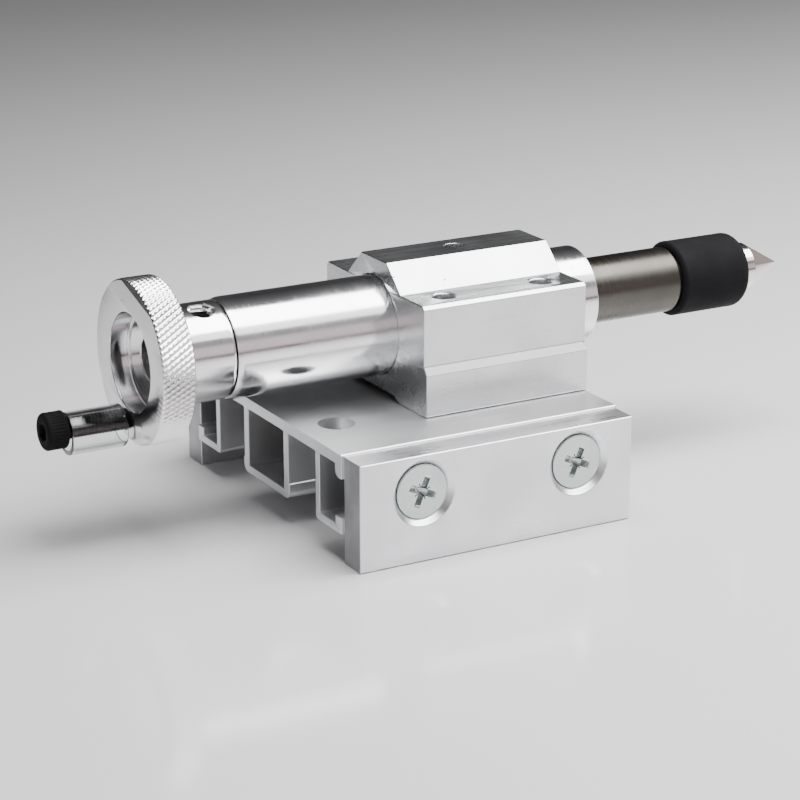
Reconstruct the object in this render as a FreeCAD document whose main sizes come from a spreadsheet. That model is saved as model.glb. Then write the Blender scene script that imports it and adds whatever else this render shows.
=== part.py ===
import FreeCAD, Part
import os
import re

import Sketcher

# Lathe tailstock, in millimetres.
# Origin: middle of the base extrusion's underside, the face that sits on the lathe bed.
# +X points along the quill towards the centre's tip, +Z up, and -Y is the side of the near plate.
# Threads are plain cylinders of the thread's outside size. A screw is thinner than its tapped
# hole by thread_gap, and heads, nuts and washers lie face to face with what they clamp.

# The driving dimensions. They fill the spreadsheet, and every shape is bound to its cells.
SIZES = {
    # base extrusion
    "deck_length": 58.0,
    "deck_width": 60.0,
    "deck_height": 15.0,
    "deck_skin": 2.2,
    "box_wall": 2.2,
    "box_floor": 1.66,
    "box_ledge": 0.3,
    "box_ledge_height": 3.0,
    "box_round": 1.6,
    "channel_web": 1.6,
    "channel_floor": 1.55,
    "channel_round": 1.0,
    "lip_thickness": 2.45,
    "upper_lip": 2.4,
    "lower_lip": 1.65,
    "lip_round": 1.2,
    "deck_round": 0.5,
    # holes for the two clamp bolts that hold the base on the bed
    "clamp_hole_radius": 3.5,
    "clamp_hole_setback": 7.55,
    # side plates that straddle the bed
    "plate_length": 57.0,
    "plate_thickness": 6.0,
    "plate_height": 20.2,
    "plate_drop": 5.5,
    "plate_hole_height": 7.5,
    "plate_hole_setback": 12.95,
    "plate_hole_front_setback": 11.45,
    "countersink_radius": 6.2,
    "countersink_half_angle": 45.0,
    # countersunk screws and the nuts they draw against the channel lips
    "plate_screw_radius": 2.5,
    "plate_screw_end": 0.45,
    "plate_screw_head": 5.1,
    "plate_screw_rim": 0.3,
    "cross_span": 5.6,
    "cross_width": 1.3,
    "cross_depth": 2.2,
    "slot_nut_length": 10.0,
    "slot_nut_thickness": 3.9,
    "slot_nut_clip": 1.2,
    # bearing housing block
    "block_length": 35.0,
    "block_width": 40.0,
    "block_floor": 3.5,
    "crown_wall": 3.5,
    "block_waist": 38.0,
    "block_foot": 8.1,
    "block_foot_slope": 1.5,
    "block_foot_clip": 0.4,
    "shoulder_drop": 5.0,
    "shoulder_clip": 0.65,
    "saddle_width": 20.4,
    "crown_width": 9.7,
    "relief_width": 19.0,
    "relief_slope": 1.9,
    "relief_depth": 1.0,
    # screws that hold the block down from below
    "bolt_pitch": 21.0,
    "bolt_gauge": 28.0,
    "block_screw_radius": 2.5,
    "block_screw_length": 12.0,
    "block_screw_head": 4.25,
    "block_screw_head_height": 5.0,
    "block_screw_socket": 4.0,
    "block_screw_socket_depth": 2.5,
    "block_tap_spare": 2.2,
    "block_pilot_step": 0.35,
    # barrel
    "barrel_radius": 9.5,
    "barrel_length": 76.9,
    "barrel_overhang": 9.4,
    "barrel_end_wall": 6.0,
    "barrel_rear_clip": 1.3,
    "barrel_rear_step": 0.35,
    # key screw in the crown of the block
    "key_screw_radius": 2.0,
    "key_screw_sink": 2.0,
    "key_screw_stand_off": 0.15,
    "key_dog_radius": 1.1,
    "key_dog_reach": 1.4,
    "key_socket": 2.0,
    "key_socket_depth": 1.5,
    # handwheel, one turning of rim and hub
    "wheel_radius": 15.25,
    "wheel_width": 6.3,
    "wheel_edge_clip": 0.35,
    "wheel_recess_radius": 9.1,
    "wheel_recess_depth": 3.9,
    "hub_radius": 9.15,
    "hub_length": 10.8,
    "wheel_turn": 17.0,
    # grub screw that locks the hub on the lead screw
    "grub_radius": 2.5,
    "grub_length": 3.0,
    "grub_socket": 2.5,
    "grub_socket_depth": 1.6,
    "grub_setback": 4.0,
    # lead screw
    "screw_radius": 4.0,
    "screw_sink": 2.9,
    "screw_thread_length": 55.4,
    "collar_width": 3.0,
    # crank screw and the loose clear sleeve on it
    "crank_screw_radius": 2.0,
    "crank_screw_length": 18.0,
    "crank_head_radius": 3.5,
    "crank_head_height": 4.0,
    "crank_socket": 3.0,
    "crank_socket_depth": 2.0,
    "sleeve_bore": 3.1,
    "sleeve_wall": 0.85,
    "sleeve_end_play": 0.9,
    # quill
    "quill_radius": 6.5,
    "quill_length": 66.4,
    "quill_reach": 22.0,
    "quill_end_clip": 0.3,
    "quill_thread_length": 20.0,
    "quill_relief": 0.35,
    "quill_bore_spare": 2.0,
    "travel_out": 13.0,
    "travel_in": 21.0,
    "keyway_spare": 0.2,
    "spigot_length": 6.5,
    # nose nut and the double-row bearing of the revolving centre
    "nut_wall": 1.48,
    "nut_lip": 1.7,
    "nut_front_round": 1.8,
    "nut_seat_gap": 0.2,
    "bearing_radius": 6.0,
    "bearing_bore": 3.0,
    "bearing_width": 8.0,
    # revolving centre
    "point_radius": 5.0,
    "point_land": 4.1,
    "point_half_angle": 30.0,
    "point_boss_radius": 3.7,
    "point_boss_height": 0.3,
    "tail_end_length": 1.0,
    "tail_gap": 1.0,
    # clearances
    "thread_gap": 0.02,
    "press_gap": 0.01,
    "slide_gap": 0.03,
    "running_gap": 0.05,
    "thrust_gap": 0.1,
    "face_gap": 0.2,
    "loose_gap": 0.1,
    "open_gap": 0.3,
    "box_gap": 0.55,
    "web_gap": 1.75,
    "collar_gap": 0.5,
    "bolt_clearance": 0.25,
}

# Places and fits that follow from the sizes.
TERMS = {
    "deck_front": "deck_length / 2",
    "deck_side": "deck_width / 2",
    "deck_ceiling": "deck_height - deck_skin",
    "box_side": "bolt_gauge / 2 - block_screw_head - box_gap + box_ledge",
    "web_inside": "bolt_gauge / 2 + block_screw_head + web_gap",
    "web_outside": "web_inside + channel_web",
    "lip_inside": "deck_side - lip_thickness",
    "slot_bottom": "channel_floor + lower_lip",
    "slot_top": "deck_ceiling - upper_lip",
    "clamp_hole_x": "clamp_hole_setback - deck_front",
    "plate_hole_x": "plate_hole_setback - plate_length / 2",
    "plate_hole_pitch": "plate_length - plate_hole_setback - plate_hole_front_setback",
    "plate_hole_radius": "plate_screw_radius + bolt_clearance",
    "plate_outside": "deck_side + plate_thickness",
    "head_sink": "(countersink_radius - plate_screw_head) / tan(countersink_half_angle) - plate_screw_rim",
    "plate_screw_cone": "(plate_screw_head - plate_screw_radius) / tan(countersink_half_angle)",
    "plate_screw_reach": "lip_inside - slot_nut_thickness - plate_screw_end",
    "plate_screw_length": "plate_outside - head_sink - plate_screw_reach",
    "slot_nut_room": "min(deck_ceiling - plate_hole_height; plate_hole_height - channel_floor)",
    "block_front": "deck_front",
    "block_middle": "block_front - block_length / 2",
    "bore_height": "block_floor + barrel_radius",
    "axis_height": "deck_height + bore_height",
    "block_height": "bore_height + barrel_radius + crown_wall",
    "block_top": "deck_height + block_height",
    "shoulder_height": "block_height - shoulder_drop",
    "bolt_x": "block_middle - bolt_pitch / 2",
    "bore_radius": "barrel_radius + press_gap",
    "block_tap_depth": "block_screw_length - deck_skin + block_tap_spare",
    "barrel_front": "block_front + barrel_overhang",
    "barrel_rear": "barrel_front - barrel_length",
    "barrel_bore": "quill_radius + slide_gap",
    "screw_hole": "screw_radius + running_gap",
    "tapped_quill": "screw_radius + running_gap",
    "key_screw_foot": "quill_radius + key_screw_stand_off",
    "hub_front": "barrel_rear - face_gap",
    "wheel_front": "hub_front - hub_length",
    "wheel_rear": "wheel_front - wheel_width",
    "hub_bore": "screw_radius + slide_gap",
    "collar_radius": "barrel_bore - collar_gap",
    "collar_rear": "barrel_rear + barrel_end_wall + thrust_gap",
    "screw_rear": "wheel_rear + wheel_recess_depth + screw_sink",
    "screw_front": "collar_rear + collar_width + screw_thread_length",
    "crank_offset": "(wheel_recess_radius + wheel_radius) / 2",
    "crank_y": "crank_offset * sin(wheel_turn)",
    "crank_z": "axis_height - crank_offset * cos(wheel_turn)",
    "crank_head_front": "wheel_front - crank_screw_length",
    "sleeve_sag": "sleeve_bore - crank_screw_radius - loose_gap",
    "sleeve_start": "crank_head_front + open_gap",
    "sleeve_length": "wheel_rear - crank_head_front - sleeve_end_play",
    "quill_front": "barrel_front + quill_reach",
    "quill_rear": "quill_front - quill_length",
    "quill_bore_depth": "screw_front + travel_in + quill_bore_spare - quill_rear",
    "keyway_side": "key_dog_radius + loose_gap",
    "keyway_depth": "key_dog_reach + keyway_spare",
    "keyway_rear": "block_middle - quill_rear - travel_out - open_gap",
    "keyway_front": "block_middle - quill_rear + travel_in + open_gap",
    "spigot_front": "quill_front + spigot_length",
    "tail_bore_depth": "tail_end_length + tail_gap",
    "nut_rear": "quill_front + nut_seat_gap",
    "bearing_front": "spigot_front + bearing_width",
    "nut_front": "bearing_front + nut_lip",
    "nut_bore": "bearing_radius + thread_gap",
    "nut_radius": "nut_bore + nut_wall",
    "nut_lip_bore": "point_radius + open_gap",
    "nut_round_inset": "nut_front_round * (1 - sqrt(2) / 2)",
    "bearing_middle": "(bearing_bore + bearing_radius) / 2",
    "inner_land": "bearing_middle - running_gap",
    "outer_land": "bearing_middle + running_gap",
    "shaft_radius": "bearing_bore - press_gap",
    "point_cone": "point_radius / tan(point_half_angle)",
}

doc = FreeCAD.newDocument("LatheTailstock")


def bound(text):
    """Spell an expression out in the spreadsheet's cells."""

    def cell(match):
        word = match.group()
        if word in TERMS:
            return f"({bound(TERMS[word])})"
        return f"Sizes.{word}" if word in SIZES else word

    return re.sub(r"[a-z][a-z_]*", cell, text)


def fill_sheet():
    """Put every driving dimension in a cell with its alias."""
    sheet = doc.addObject("Spreadsheet::Sheet", "Sizes")
    for row, (name, size) in enumerate(SIZES.items(), 1):
        sheet.set(f"A{row}", name)
        sheet.set(f"B{row}", str(size))
        sheet.setAlias(f"B{row}", name)
    doc.recompute()


def origin_feature(body, role):
    """One of the body's own origin planes or axes, such as XY_Plane or X_Axis."""
    return next(f for f in body.Origin.OriginFeatures if f.Role == role)


def bind(item, **expressions):
    """Bind properties to expressions; a double underscore stands for a dot."""
    for path, text in expressions.items():
        item.setExpression(path.replace("__", "."), bound(text))


def new_body(name, x="0", y="0", z="0"):
    """A body named as its node, with its own origin at x, y, z."""
    body = doc.addObject("PartDesign::Body", name)
    body.Label = name
    bind(body, Placement__Base__x=x, Placement__Base__y=y, Placement__Base__z=z)
    return body


def turn_with_wheel(body):
    """Turn a body about the quill's axis as far as the handwheel is turned."""
    body.Placement.Rotation = FreeCAD.Rotation(FreeCAD.Vector(1, 0, 0), 1)
    bind(body, Placement__Rotation__Angle="wheel_turn")


def new_sketch(body, name, role, offset="0"):
    """An empty sketch on one of the body's origin planes, moved along the plane's normal."""
    sketch = body.newObject("Sketcher::SketchObject", name)
    sketch.AttachmentSupport = (origin_feature(body, role), "")
    sketch.MapMode = "FlatFace"
    bind(sketch, AttachmentOffset__Base__z=offset)
    return sketch


def locate(sketch, geometry, point, x, y):
    """Fix one point of the sketch at x, y."""
    for kind, text in (("DistanceX", x), ("DistanceY", y)):
        place = Sketcher.Constraint(kind, -1, 1, geometry, point, 1.0)
        number = sketch.addConstraint(place)
        sketch.setExpression(f"Constraints[{number}]", bound(text))


def draw_outline(body, name, role, corners, offset="0"):
    """A closed outline of straight edges through the corners, each an (x, y) pair."""
    sketch = new_sketch(body, name, role, offset)
    count = len(corners)
    turn = FreeCAD.Rotation(FreeCAD.Vector(0, 0, 1), 360 / count)
    spots = [FreeCAD.Vector(1, 0, 0)]
    for _ in range(count - 1):
        spots.append(turn.multVec(spots[-1]))
    edges = [Part.LineSegment(spots[i], spots[(i + 1) % count]) for i in range(count)]
    sketch.addGeometry(edges, False)
    for i, (x, y) in enumerate(corners):
        sketch.addConstraint(Sketcher.Constraint("Coincident", i, 2, (i + 1) % count, 1))
        locate(sketch, i, 1, x, y)
    return sketch


def draw_circles(body, name, role, circles, offset="0"):
    """Circles, each an (x, y, radius) triple."""
    sketch = new_sketch(body, name, role, offset)
    up = FreeCAD.Vector(0, 0, 1)
    for x, y, radius in circles:
        number = sketch.addGeometry(Part.Circle(FreeCAD.Vector(1, 1, 0), up, 1.0), False)
        size = sketch.addConstraint(Sketcher.Constraint("Radius", number, 1.0))
        sketch.setExpression(f"Constraints[{size}]", bound(radius))
        locate(sketch, number, 3, x, y)
    return sketch


def check_change(feature, before, removes):
    """Stop if a feature failed or didn't change the solid the way it should."""
    doc.recompute()
    if not feature.isValid() or feature.Shape.isNull():
        raise RuntimeError(f"{feature.Name} failed")
    change = feature.Shape.Volume - before
    if (change >= 0) if removes else (change <= 0):
        raise RuntimeError(f"{feature.Name} changed the volume by {change:.3f}")
    return feature


def solid_before(body):
    """Volume of what the body has so far."""
    doc.recompute()
    return body.Tip.Shape.Volume if body.Tip else 0.0


def pad(body, sketch, length, both_ways=False, backwards=False):
    """Extrude a sketch."""
    before = solid_before(body)
    feature = body.newObject("PartDesign::Pad", sketch.Name + "_pad")
    feature.Profile = sketch
    bind(feature, Length=length)
    feature.SideType = "Symmetric" if both_ways else "One side"
    feature.Reversed = backwards
    return check_change(feature, before, removes=False)


def pocket(body, sketch, depth="", backwards=False):
    """Cut a sketch into the body, right through both ways if no depth is given."""
    before = solid_before(body)
    feature = body.newObject("PartDesign::Pocket", sketch.Name + "_cut")
    feature.Profile = sketch
    feature.Reversed = backwards
    if depth:
        bind(feature, Length=depth)
    else:
        feature.Type = "ThroughAll"
        feature.SideType = "Symmetric"
    return check_change(feature, before, removes=True)


def turn(body, sketch, axis):
    """Revolve a half section about the sketch's own H_Axis or V_Axis."""
    feature = body.newObject("PartDesign::Revolution", sketch.Name + "_turned")
    feature.Profile = sketch
    feature.ReferenceAxis = (sketch, [axis])
    feature.Angle = 360
    return check_change(feature, 0.0, removes=False)


def repeat(body, originals, pitch, count=2, axis="X_Axis", second_axis="", second_pitch=""):
    """Copy features along one axis, or in rows of two along a second axis as well."""
    before = solid_before(body)
    feature = body.newObject("PartDesign::LinearPattern", body.Name + "_row")
    feature.Originals = originals
    feature.Direction = (origin_feature(body, axis), [""])
    feature.Occurrences = count
    bind(feature, Length=pitch)
    if second_axis:
        feature.Direction2 = (origin_feature(body, second_axis), [""])
        feature.Occurrences2 = 2
        bind(feature, Length2=second_pitch)
    body.Tip = feature
    return check_change(feature, before, removes=False)


def long_edges(feature, sketch, corners):
    """Names of the straight edges that run along the sketch's normal through some corners."""
    normal = sketch.Placement.Rotation.multVec(FreeCAD.Vector(0, 0, 1))
    spots = [sketch.Placement.multVec(sketch.Geometry[i].StartPoint) for i in corners]
    names = []
    for number, edge in enumerate(feature.Shape.Edges, 1):
        if edge.Curve.TypeId != "Part::GeomLine":
            continue
        if edge.Curve.Direction.cross(normal).Length > 1e-6:
            continue
        start = edge.Vertexes[0].Point
        if any((spot - start).cross(normal).Length < 1e-6 for spot in spots):
            names.append(f"Edge{number}")
    return names


def round_edges(body, name, names, radius):
    """Fillet the named edges of the body's tip."""
    base = body.Tip
    feature = body.newObject("PartDesign::Fillet", name)
    feature.Base = (base, names)
    bind(feature, Radius=radius)
    doc.recompute()
    if not feature.isValid() or abs(feature.Shape.Volume - base.Shape.Volume) < 1e-9:
        raise RuntimeError(f"{name} rounded nothing")
    return feature


def mirrored(half):
    """A half outline and its mirror image in the Y axis of the sketch, as one closed list."""
    return half + [(f"-({x})", y) for x, y in reversed(half)]


def hexagon(across):
    """Corners of a hexagon of some width across flats, centred on the sketch's origin."""
    side = f"{across} / sqrt(3)"
    half = f"{across} / 2"
    right = [(half, f"-({side}) / 2"), (half, f"({side}) / 2"), ("0", side)]
    left = [(f"-({half})", f"({side}) / 2"), (f"-({half})", f"-({side}) / 2"), ("0", f"-({side})")]
    return right + left


def cross(span, width):
    """Corners of a cross recess with arms of one width, centred on the sketch's origin."""
    far = f"{span} / 2"
    near = f"{width} / 2"
    arm = [(far, f"-({near})"), (far, near), (near, near)]
    corners = []
    for _ in range(4):
        corners += arm
        arm = [(f"-({y})", x) for x, y in arm]
    return corners


def make_deck_profile():
    """The base: a length of aluminium extrusion with a box keel and a slotted channel each side."""
    body = new_body("deck_profile")
    half = [
        ("box_side", "0"),
        ("box_side", "box_ledge_height"),
        ("box_side - box_ledge", "box_ledge_height"),
        ("box_side - box_ledge", "deck_ceiling"),
        ("web_inside", "deck_ceiling"),
        ("web_inside", "0"),
        ("deck_side", "0"),
        ("deck_side", "slot_bottom"),
        ("lip_inside", "slot_bottom"),
        ("lip_inside", "channel_floor"),
        ("web_outside", "channel_floor"),
        ("web_outside", "deck_ceiling"),
        ("lip_inside", "deck_ceiling"),
        ("lip_inside", "slot_top"),
        ("deck_side", "slot_top"),
        ("deck_side", "deck_height"),
    ]
    section = draw_outline(body, "deck_section", "YZ_Plane", mirrored(half))
    pad(body, section, "deck_length", both_ways=True)
    inside = "box_side - box_wall"
    cavity = [(inside, "box_floor"), (inside, "deck_ceiling")]
    keel = draw_outline(body, "deck_box", "YZ_Plane", mirrored(cavity))
    pocket(body, keel)
    last = len(half) * 2 - 1
    rounds = {"box_round": 0, "channel_round": 5, "lip_round": 13, "deck_round": 15}
    for radius, corner in rounds.items():
        names = long_edges(body.Tip, section, [corner, last - corner])
        round_edges(body, f"deck_{radius}", names, radius)
    drill = "block_screw_radius + bolt_clearance"
    sides = ("-bolt_gauge / 2", "bolt_gauge / 2")
    holes = [(x, y, drill) for x in ("bolt_x", "bolt_x + bolt_pitch") for y in sides]
    holes += [("clamp_hole_x", y, "clamp_hole_radius") for y in sides]
    pocket(body, draw_circles(body, "deck_holes", "XY_Plane", holes))


def make_side_plate(name, side):
    """A plate on one side (-1 near, 1 far) that laps the bed, with two countersunk holes.

    The two plates are one part turned end for end.
    """
    ends = f"{side} * plate_length / 2"
    foot = "-plate_drop"
    head = "plate_height - plate_drop"
    outside = "plate_outside"
    offset = outside if side < 0 else f"-({outside})"
    body = new_body(name)
    corners = [(f"-({ends})", foot), (ends, foot), (ends, head), (f"-({ends})", head)]
    face = draw_outline(body, name + "_face", "XZ_Plane", corners, offset)
    pad(body, face, "plate_thickness", backwards=side < 0)
    spots = [f"{-side} * plate_hole_x", f"{-side} * (plate_hole_x + plate_hole_pitch)"]
    drilled = [(x, "plate_hole_height", "plate_hole_radius") for x in spots]
    points = draw_circles(body, name + "_holes", "XZ_Plane", drilled, offset)
    doc.recompute()
    before = body.Tip.Shape.Volume
    hole = body.newObject("PartDesign::Hole", name + "_countersinks")
    hole.Profile = points
    doc.recompute()
    hole.Threaded = False
    hole.DepthType = "ThroughAll"
    hole.Reversed = side > 0
    hole.HoleCutType = "Countersink"
    hole.HoleCutCustomValues = True
    bind(hole, Diameter="2 * plate_hole_radius", HoleCutDiameter="2 * countersink_radius")
    bind(hole, HoleCutCountersinkAngle="2 * countersink_half_angle")
    check_change(hole, before, removes=True)


def make_plate_screws(name, side):
    """Two countersunk screws with cross recesses, sunk below the plate's outer face."""
    base = "plate_outside - head_sink"
    body = new_body(name, f"{-side} * plate_hole_x", f"{side} * ({base})", "plate_hole_height")
    neck = "plate_screw_rim + plate_screw_cone"
    lengths = ["0", "plate_screw_rim", neck, "plate_screw_length"]
    radii = ["plate_screw_head", "plate_screw_head", "plate_screw_radius", "plate_screw_radius"]
    corners = [("0", "0")] + [(r, f"{-side} * ({y})") for r, y in zip(radii, lengths)]
    corners.append(("0", f"{-side} * plate_screw_length"))
    shank = turn(body, draw_outline(body, name + "_half", "XY_Plane", corners), "V_Axis")
    recess = draw_outline(body, name + "_cross", "XZ_Plane", cross("cross_span", "cross_width"))
    driven = pocket(body, recess, "cross_depth", backwards=side > 0)
    row = repeat(body, [shank, driven], "plate_hole_pitch")
    row.Reversed = side > 0


def make_slot_nuts(name, side):
    """Two square nuts with clipped corners, drawn up behind the channel's lips."""
    body = new_body(name, f"{-side} * plate_hole_x", f"{side} * lip_inside", "plate_hole_height")
    wide = "slot_nut_length / 2"
    tall = "slot_nut_room - open_gap"
    clip = "slot_nut_clip"
    quarter = [(wide, f"{tall} - {clip}"), (f"{wide} - {clip}", tall)]
    upper = quarter + [(f"-({x})", y) for x, y in reversed(quarter)]
    corners = upper + [(x, f"-({y})") for x, y in reversed(upper)]
    face = draw_outline(body, name + "_face", "XZ_Plane", corners)
    block = pad(body, face, "slot_nut_thickness", backwards=side < 0)
    hole = [("0", "0", "plate_screw_radius + thread_gap")]
    tapped = pocket(body, draw_circles(body, name + "_tap", "XZ_Plane", hole))
    row = repeat(body, [block, tapped], "plate_hole_pitch")
    row.Reversed = side > 0


def make_bearing_block():
    """The housing: a bearing block with a crown, two shoulders and a relieved underside."""
    body = new_body("bearing_block", "block_middle", "0", "deck_height")
    half = [
        ("relief_width / 2 - relief_slope", "relief_depth"),
        ("relief_width / 2", "0"),
        ("block_width / 2 - block_foot_clip", "0"),
        ("block_width / 2", "block_foot_clip"),
        ("block_width / 2", "block_foot"),
        ("block_waist / 2", "block_foot + block_foot_slope"),
        ("block_waist / 2", "shoulder_height - shoulder_clip"),
        ("block_waist / 2 - shoulder_clip", "shoulder_height"),
        ("saddle_width / 2", "shoulder_height"),
        ("crown_width / 2", "block_height"),
    ]
    section = draw_outline(body, "block_section", "YZ_Plane", mirrored(half))
    pad(body, section, "block_length", both_ways=True)
    bore = [("0", "bore_height", "bore_radius")]
    pocket(body, draw_circles(body, "block_bore", "YZ_Plane", bore))
    places = [("-bolt_pitch / 2", "bolt_pitch / 2"), ("-bolt_gauge / 2", "bolt_gauge / 2")]
    spots = [(x, y) for x in places[0] for y in places[1]]
    pilots = [(x, y, "block_screw_radius - block_pilot_step") for x, y in spots]
    pocket(body, draw_circles(body, "block_pilots", "XY_Plane", pilots))
    taps = [(x, y, "block_screw_radius + thread_gap") for x, y in spots]
    taps_sketch = draw_circles(body, "block_taps", "XY_Plane", taps)
    pocket(body, taps_sketch, "block_tap_depth", backwards=True)
    key = [("0", "0", "key_screw_radius + thread_gap")]
    key_sketch = draw_circles(body, "block_key_hole", "XY_Plane", key, "block_height")
    pocket(body, key_sketch, "block_height - bore_height")


def make_block_screws():
    """Four socket-head screws that come up through the deck into the block."""
    body = new_body("block_screws", "bolt_x", "-bolt_gauge / 2", "deck_ceiling")
    corners = [
        ("0", "-block_screw_head_height"),
        ("block_screw_head", "-block_screw_head_height"),
        ("block_screw_head", "0"),
        ("block_screw_radius", "0"),
        ("block_screw_radius", "block_screw_length"),
        ("0", "block_screw_length"),
    ]
    shank = turn(body, draw_outline(body, "block_screw_half", "XZ_Plane", corners), "V_Axis")
    socket = hexagon("block_screw_socket")
    bottom = "-block_screw_head_height"
    recess = draw_outline(body, "block_screw_socket", "XY_Plane", socket, bottom)
    driven = pocket(body, recess, "block_screw_socket_depth", backwards=True)
    repeat(body, [shank, driven], "bolt_pitch", 2, "X_Axis", "Y_Axis", "bolt_gauge")


def make_barrel():
    """The fixed sleeve: bored for the quill, with an end wall that carries the lead screw."""
    body = new_body("barrel", "barrel_rear", "0", "axis_height")
    corners = [
        ("0", "screw_hole"),
        ("0", "barrel_radius - barrel_rear_step"),
        ("barrel_rear_clip", "barrel_radius"),
        ("barrel_length", "barrel_radius"),
        ("barrel_length", "barrel_bore"),
        ("barrel_end_wall", "barrel_bore"),
        ("barrel_end_wall", "screw_hole"),
    ]
    turn(body, draw_outline(body, "barrel_half", "XZ_Plane", corners), "H_Axis")
    hole = [("block_middle - barrel_rear", "0", "key_screw_radius + thread_gap")]
    sketch = draw_circles(body, "barrel_key_hole", "XY_Plane", hole, "barrel_radius")
    pocket(body, sketch, "barrel_radius")


def make_key_screw():
    """A dog-point set screw: it holds the barrel and its dog runs in the quill's keyway."""
    body = new_body("key_screw", "block_middle", "0", "axis_height + key_screw_foot")
    length = "block_top - key_screw_sink - axis_height - key_screw_foot"
    corners = [
        ("0", "-key_dog_reach"),
        ("key_dog_radius", "-key_dog_reach"),
        ("key_dog_radius", "0"),
        ("key_screw_radius", "0"),
        ("key_screw_radius", length),
        ("0", length),
    ]
    turn(body, draw_outline(body, "key_screw_half", "XZ_Plane", corners), "V_Axis")
    recess = draw_outline(body, "key_screw_recess", "XY_Plane", hexagon("key_socket"), length)
    pocket(body, recess, "key_socket_depth")


def make_handwheel():
    """The handwheel: rim, dished outer face and hub turned from one piece."""
    body = new_body("handwheel", "wheel_rear", "0", "axis_height")
    turn_with_wheel(body)
    end = "wheel_width + hub_length"
    corners = [
        ("0", "wheel_recess_radius"),
        ("0", "wheel_radius - wheel_edge_clip"),
        ("wheel_edge_clip", "wheel_radius"),
        ("wheel_width", "wheel_radius"),
        ("wheel_width", "hub_radius"),
        (end, "hub_radius"),
        (end, "hub_bore"),
        ("wheel_recess_depth", "hub_bore"),
        ("wheel_recess_depth", "wheel_recess_radius"),
    ]
    turn(body, draw_outline(body, "wheel_half", "XZ_Plane", corners), "H_Axis")
    crank = [("0", "-crank_offset", "crank_screw_radius + thread_gap")]
    crank_sketch = draw_circles(body, "wheel_crank_hole", "YZ_Plane", crank)
    pocket(body, crank_sketch, "wheel_width", backwards=True)
    grub = [(f"{end} - grub_setback", "0", "grub_radius + thread_gap")]
    grub_sketch = draw_circles(body, "wheel_grub_hole", "XY_Plane", grub, "hub_radius")
    pocket(body, grub_sketch, "hub_radius")


def make_hub_grub_screw():
    """The set screw in the hub that bears on the lead screw's plain tail."""
    body = new_body("hub_grub_screw", "hub_front - grub_setback", "0", "axis_height")
    turn_with_wheel(body)
    foot = "screw_radius + thread_gap"
    head = f"{foot} + grub_length"
    corners = [("0", foot), ("grub_radius", foot), ("grub_radius", head), ("0", head)]
    turn(body, draw_outline(body, "grub_half", "XZ_Plane", corners), "V_Axis")
    recess = draw_outline(body, "grub_recess", "XY_Plane", hexagon("grub_socket"), head)
    pocket(body, recess, "grub_socket_depth")


def make_lead_screw():
    """The lead screw: a plain tail for the wheel, a thrust collar and the threaded length."""
    body = new_body("lead_screw", "screw_rear", "0", "axis_height")
    tail = "collar_rear - screw_rear"
    collar = f"{tail} + collar_width"
    end = f"{collar} + screw_thread_length"
    corners = [
        ("0", "0"),
        ("0", "screw_radius"),
        (tail, "screw_radius"),
        (tail, "collar_radius"),
        (collar, "collar_radius"),
        (collar, "screw_radius"),
        (end, "screw_radius"),
        (end, "0"),
    ]
    turn(body, draw_outline(body, "lead_screw_half", "XZ_Plane", corners), "H_Axis")


def make_crank_screw():
    """The socket-head screw that serves as the crank's handle pin."""
    body = new_body("crank_screw", "crank_head_front", "crank_y", "crank_z")
    turn_with_wheel(body)
    corners = [
        ("-crank_head_height", "0"),
        ("-crank_head_height", "crank_head_radius"),
        ("0", "crank_head_radius"),
        ("0", "crank_screw_radius"),
        ("crank_screw_length", "crank_screw_radius"),
        ("crank_screw_length", "0"),
    ]
    turn(body, draw_outline(body, "crank_screw_half", "XZ_Plane", corners), "H_Axis")
    end = "-crank_head_height"
    recess = draw_outline(body, "crank_recess", "YZ_Plane", hexagon("crank_socket"), end)
    pocket(body, recess, "crank_socket_depth", backwards=True)


def make_crank_sleeve():
    """The clear sleeve that hangs loose on the crank screw."""
    body = new_body("crank_sleeve", "sleeve_start", "crank_y", "crank_z - sleeve_sag")
    outside = "sleeve_bore + sleeve_wall"
    corners = [
        ("0", "sleeve_bore"),
        ("0", outside),
        ("sleeve_length", outside),
        ("sleeve_length", "sleeve_bore"),
    ]
    turn(body, draw_outline(body, "sleeve_half", "XZ_Plane", corners), "H_Axis")


def make_quill():
    """The quill: tapped at the rear for the lead screw, keyed on top, with a spigot in front."""
    body = new_body("quill", "quill_rear", "0", "axis_height")
    end = "quill_length + spigot_length"
    corners = [
        ("0", "tapped_quill"),
        ("0", "quill_radius"),
        ("quill_length - quill_end_clip", "quill_radius"),
        ("quill_length", "quill_radius - quill_end_clip"),
        ("quill_length", "bearing_radius"),
        (end, "bearing_radius"),
        (end, "outer_land"),
        (f"{end} - tail_bore_depth", "outer_land"),
        (f"{end} - tail_bore_depth", "0"),
        ("quill_bore_depth", "0"),
        ("quill_bore_depth", "tapped_quill + quill_relief"),
        ("quill_thread_length", "tapped_quill + quill_relief"),
        ("quill_thread_length", "tapped_quill"),
    ]
    turn(body, draw_outline(body, "quill_half", "XZ_Plane", corners), "H_Axis")
    wide = "keyway_side"
    left = f"-{wide}"
    slot = [("keyway_rear", left), ("keyway_front", left), ("keyway_front", wide), ("keyway_rear", wide)]
    slot_sketch = draw_outline(body, "keyway", "XY_Plane", slot, "quill_radius")
    pocket(body, slot_sketch, "keyway_depth")
    ends = [("keyway_rear", "0", wide), ("keyway_front", "0", wide)]
    ends_sketch = draw_circles(body, "keyway_ends", "XY_Plane", ends, "quill_radius")
    pocket(body, ends_sketch, "keyway_depth")


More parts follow.
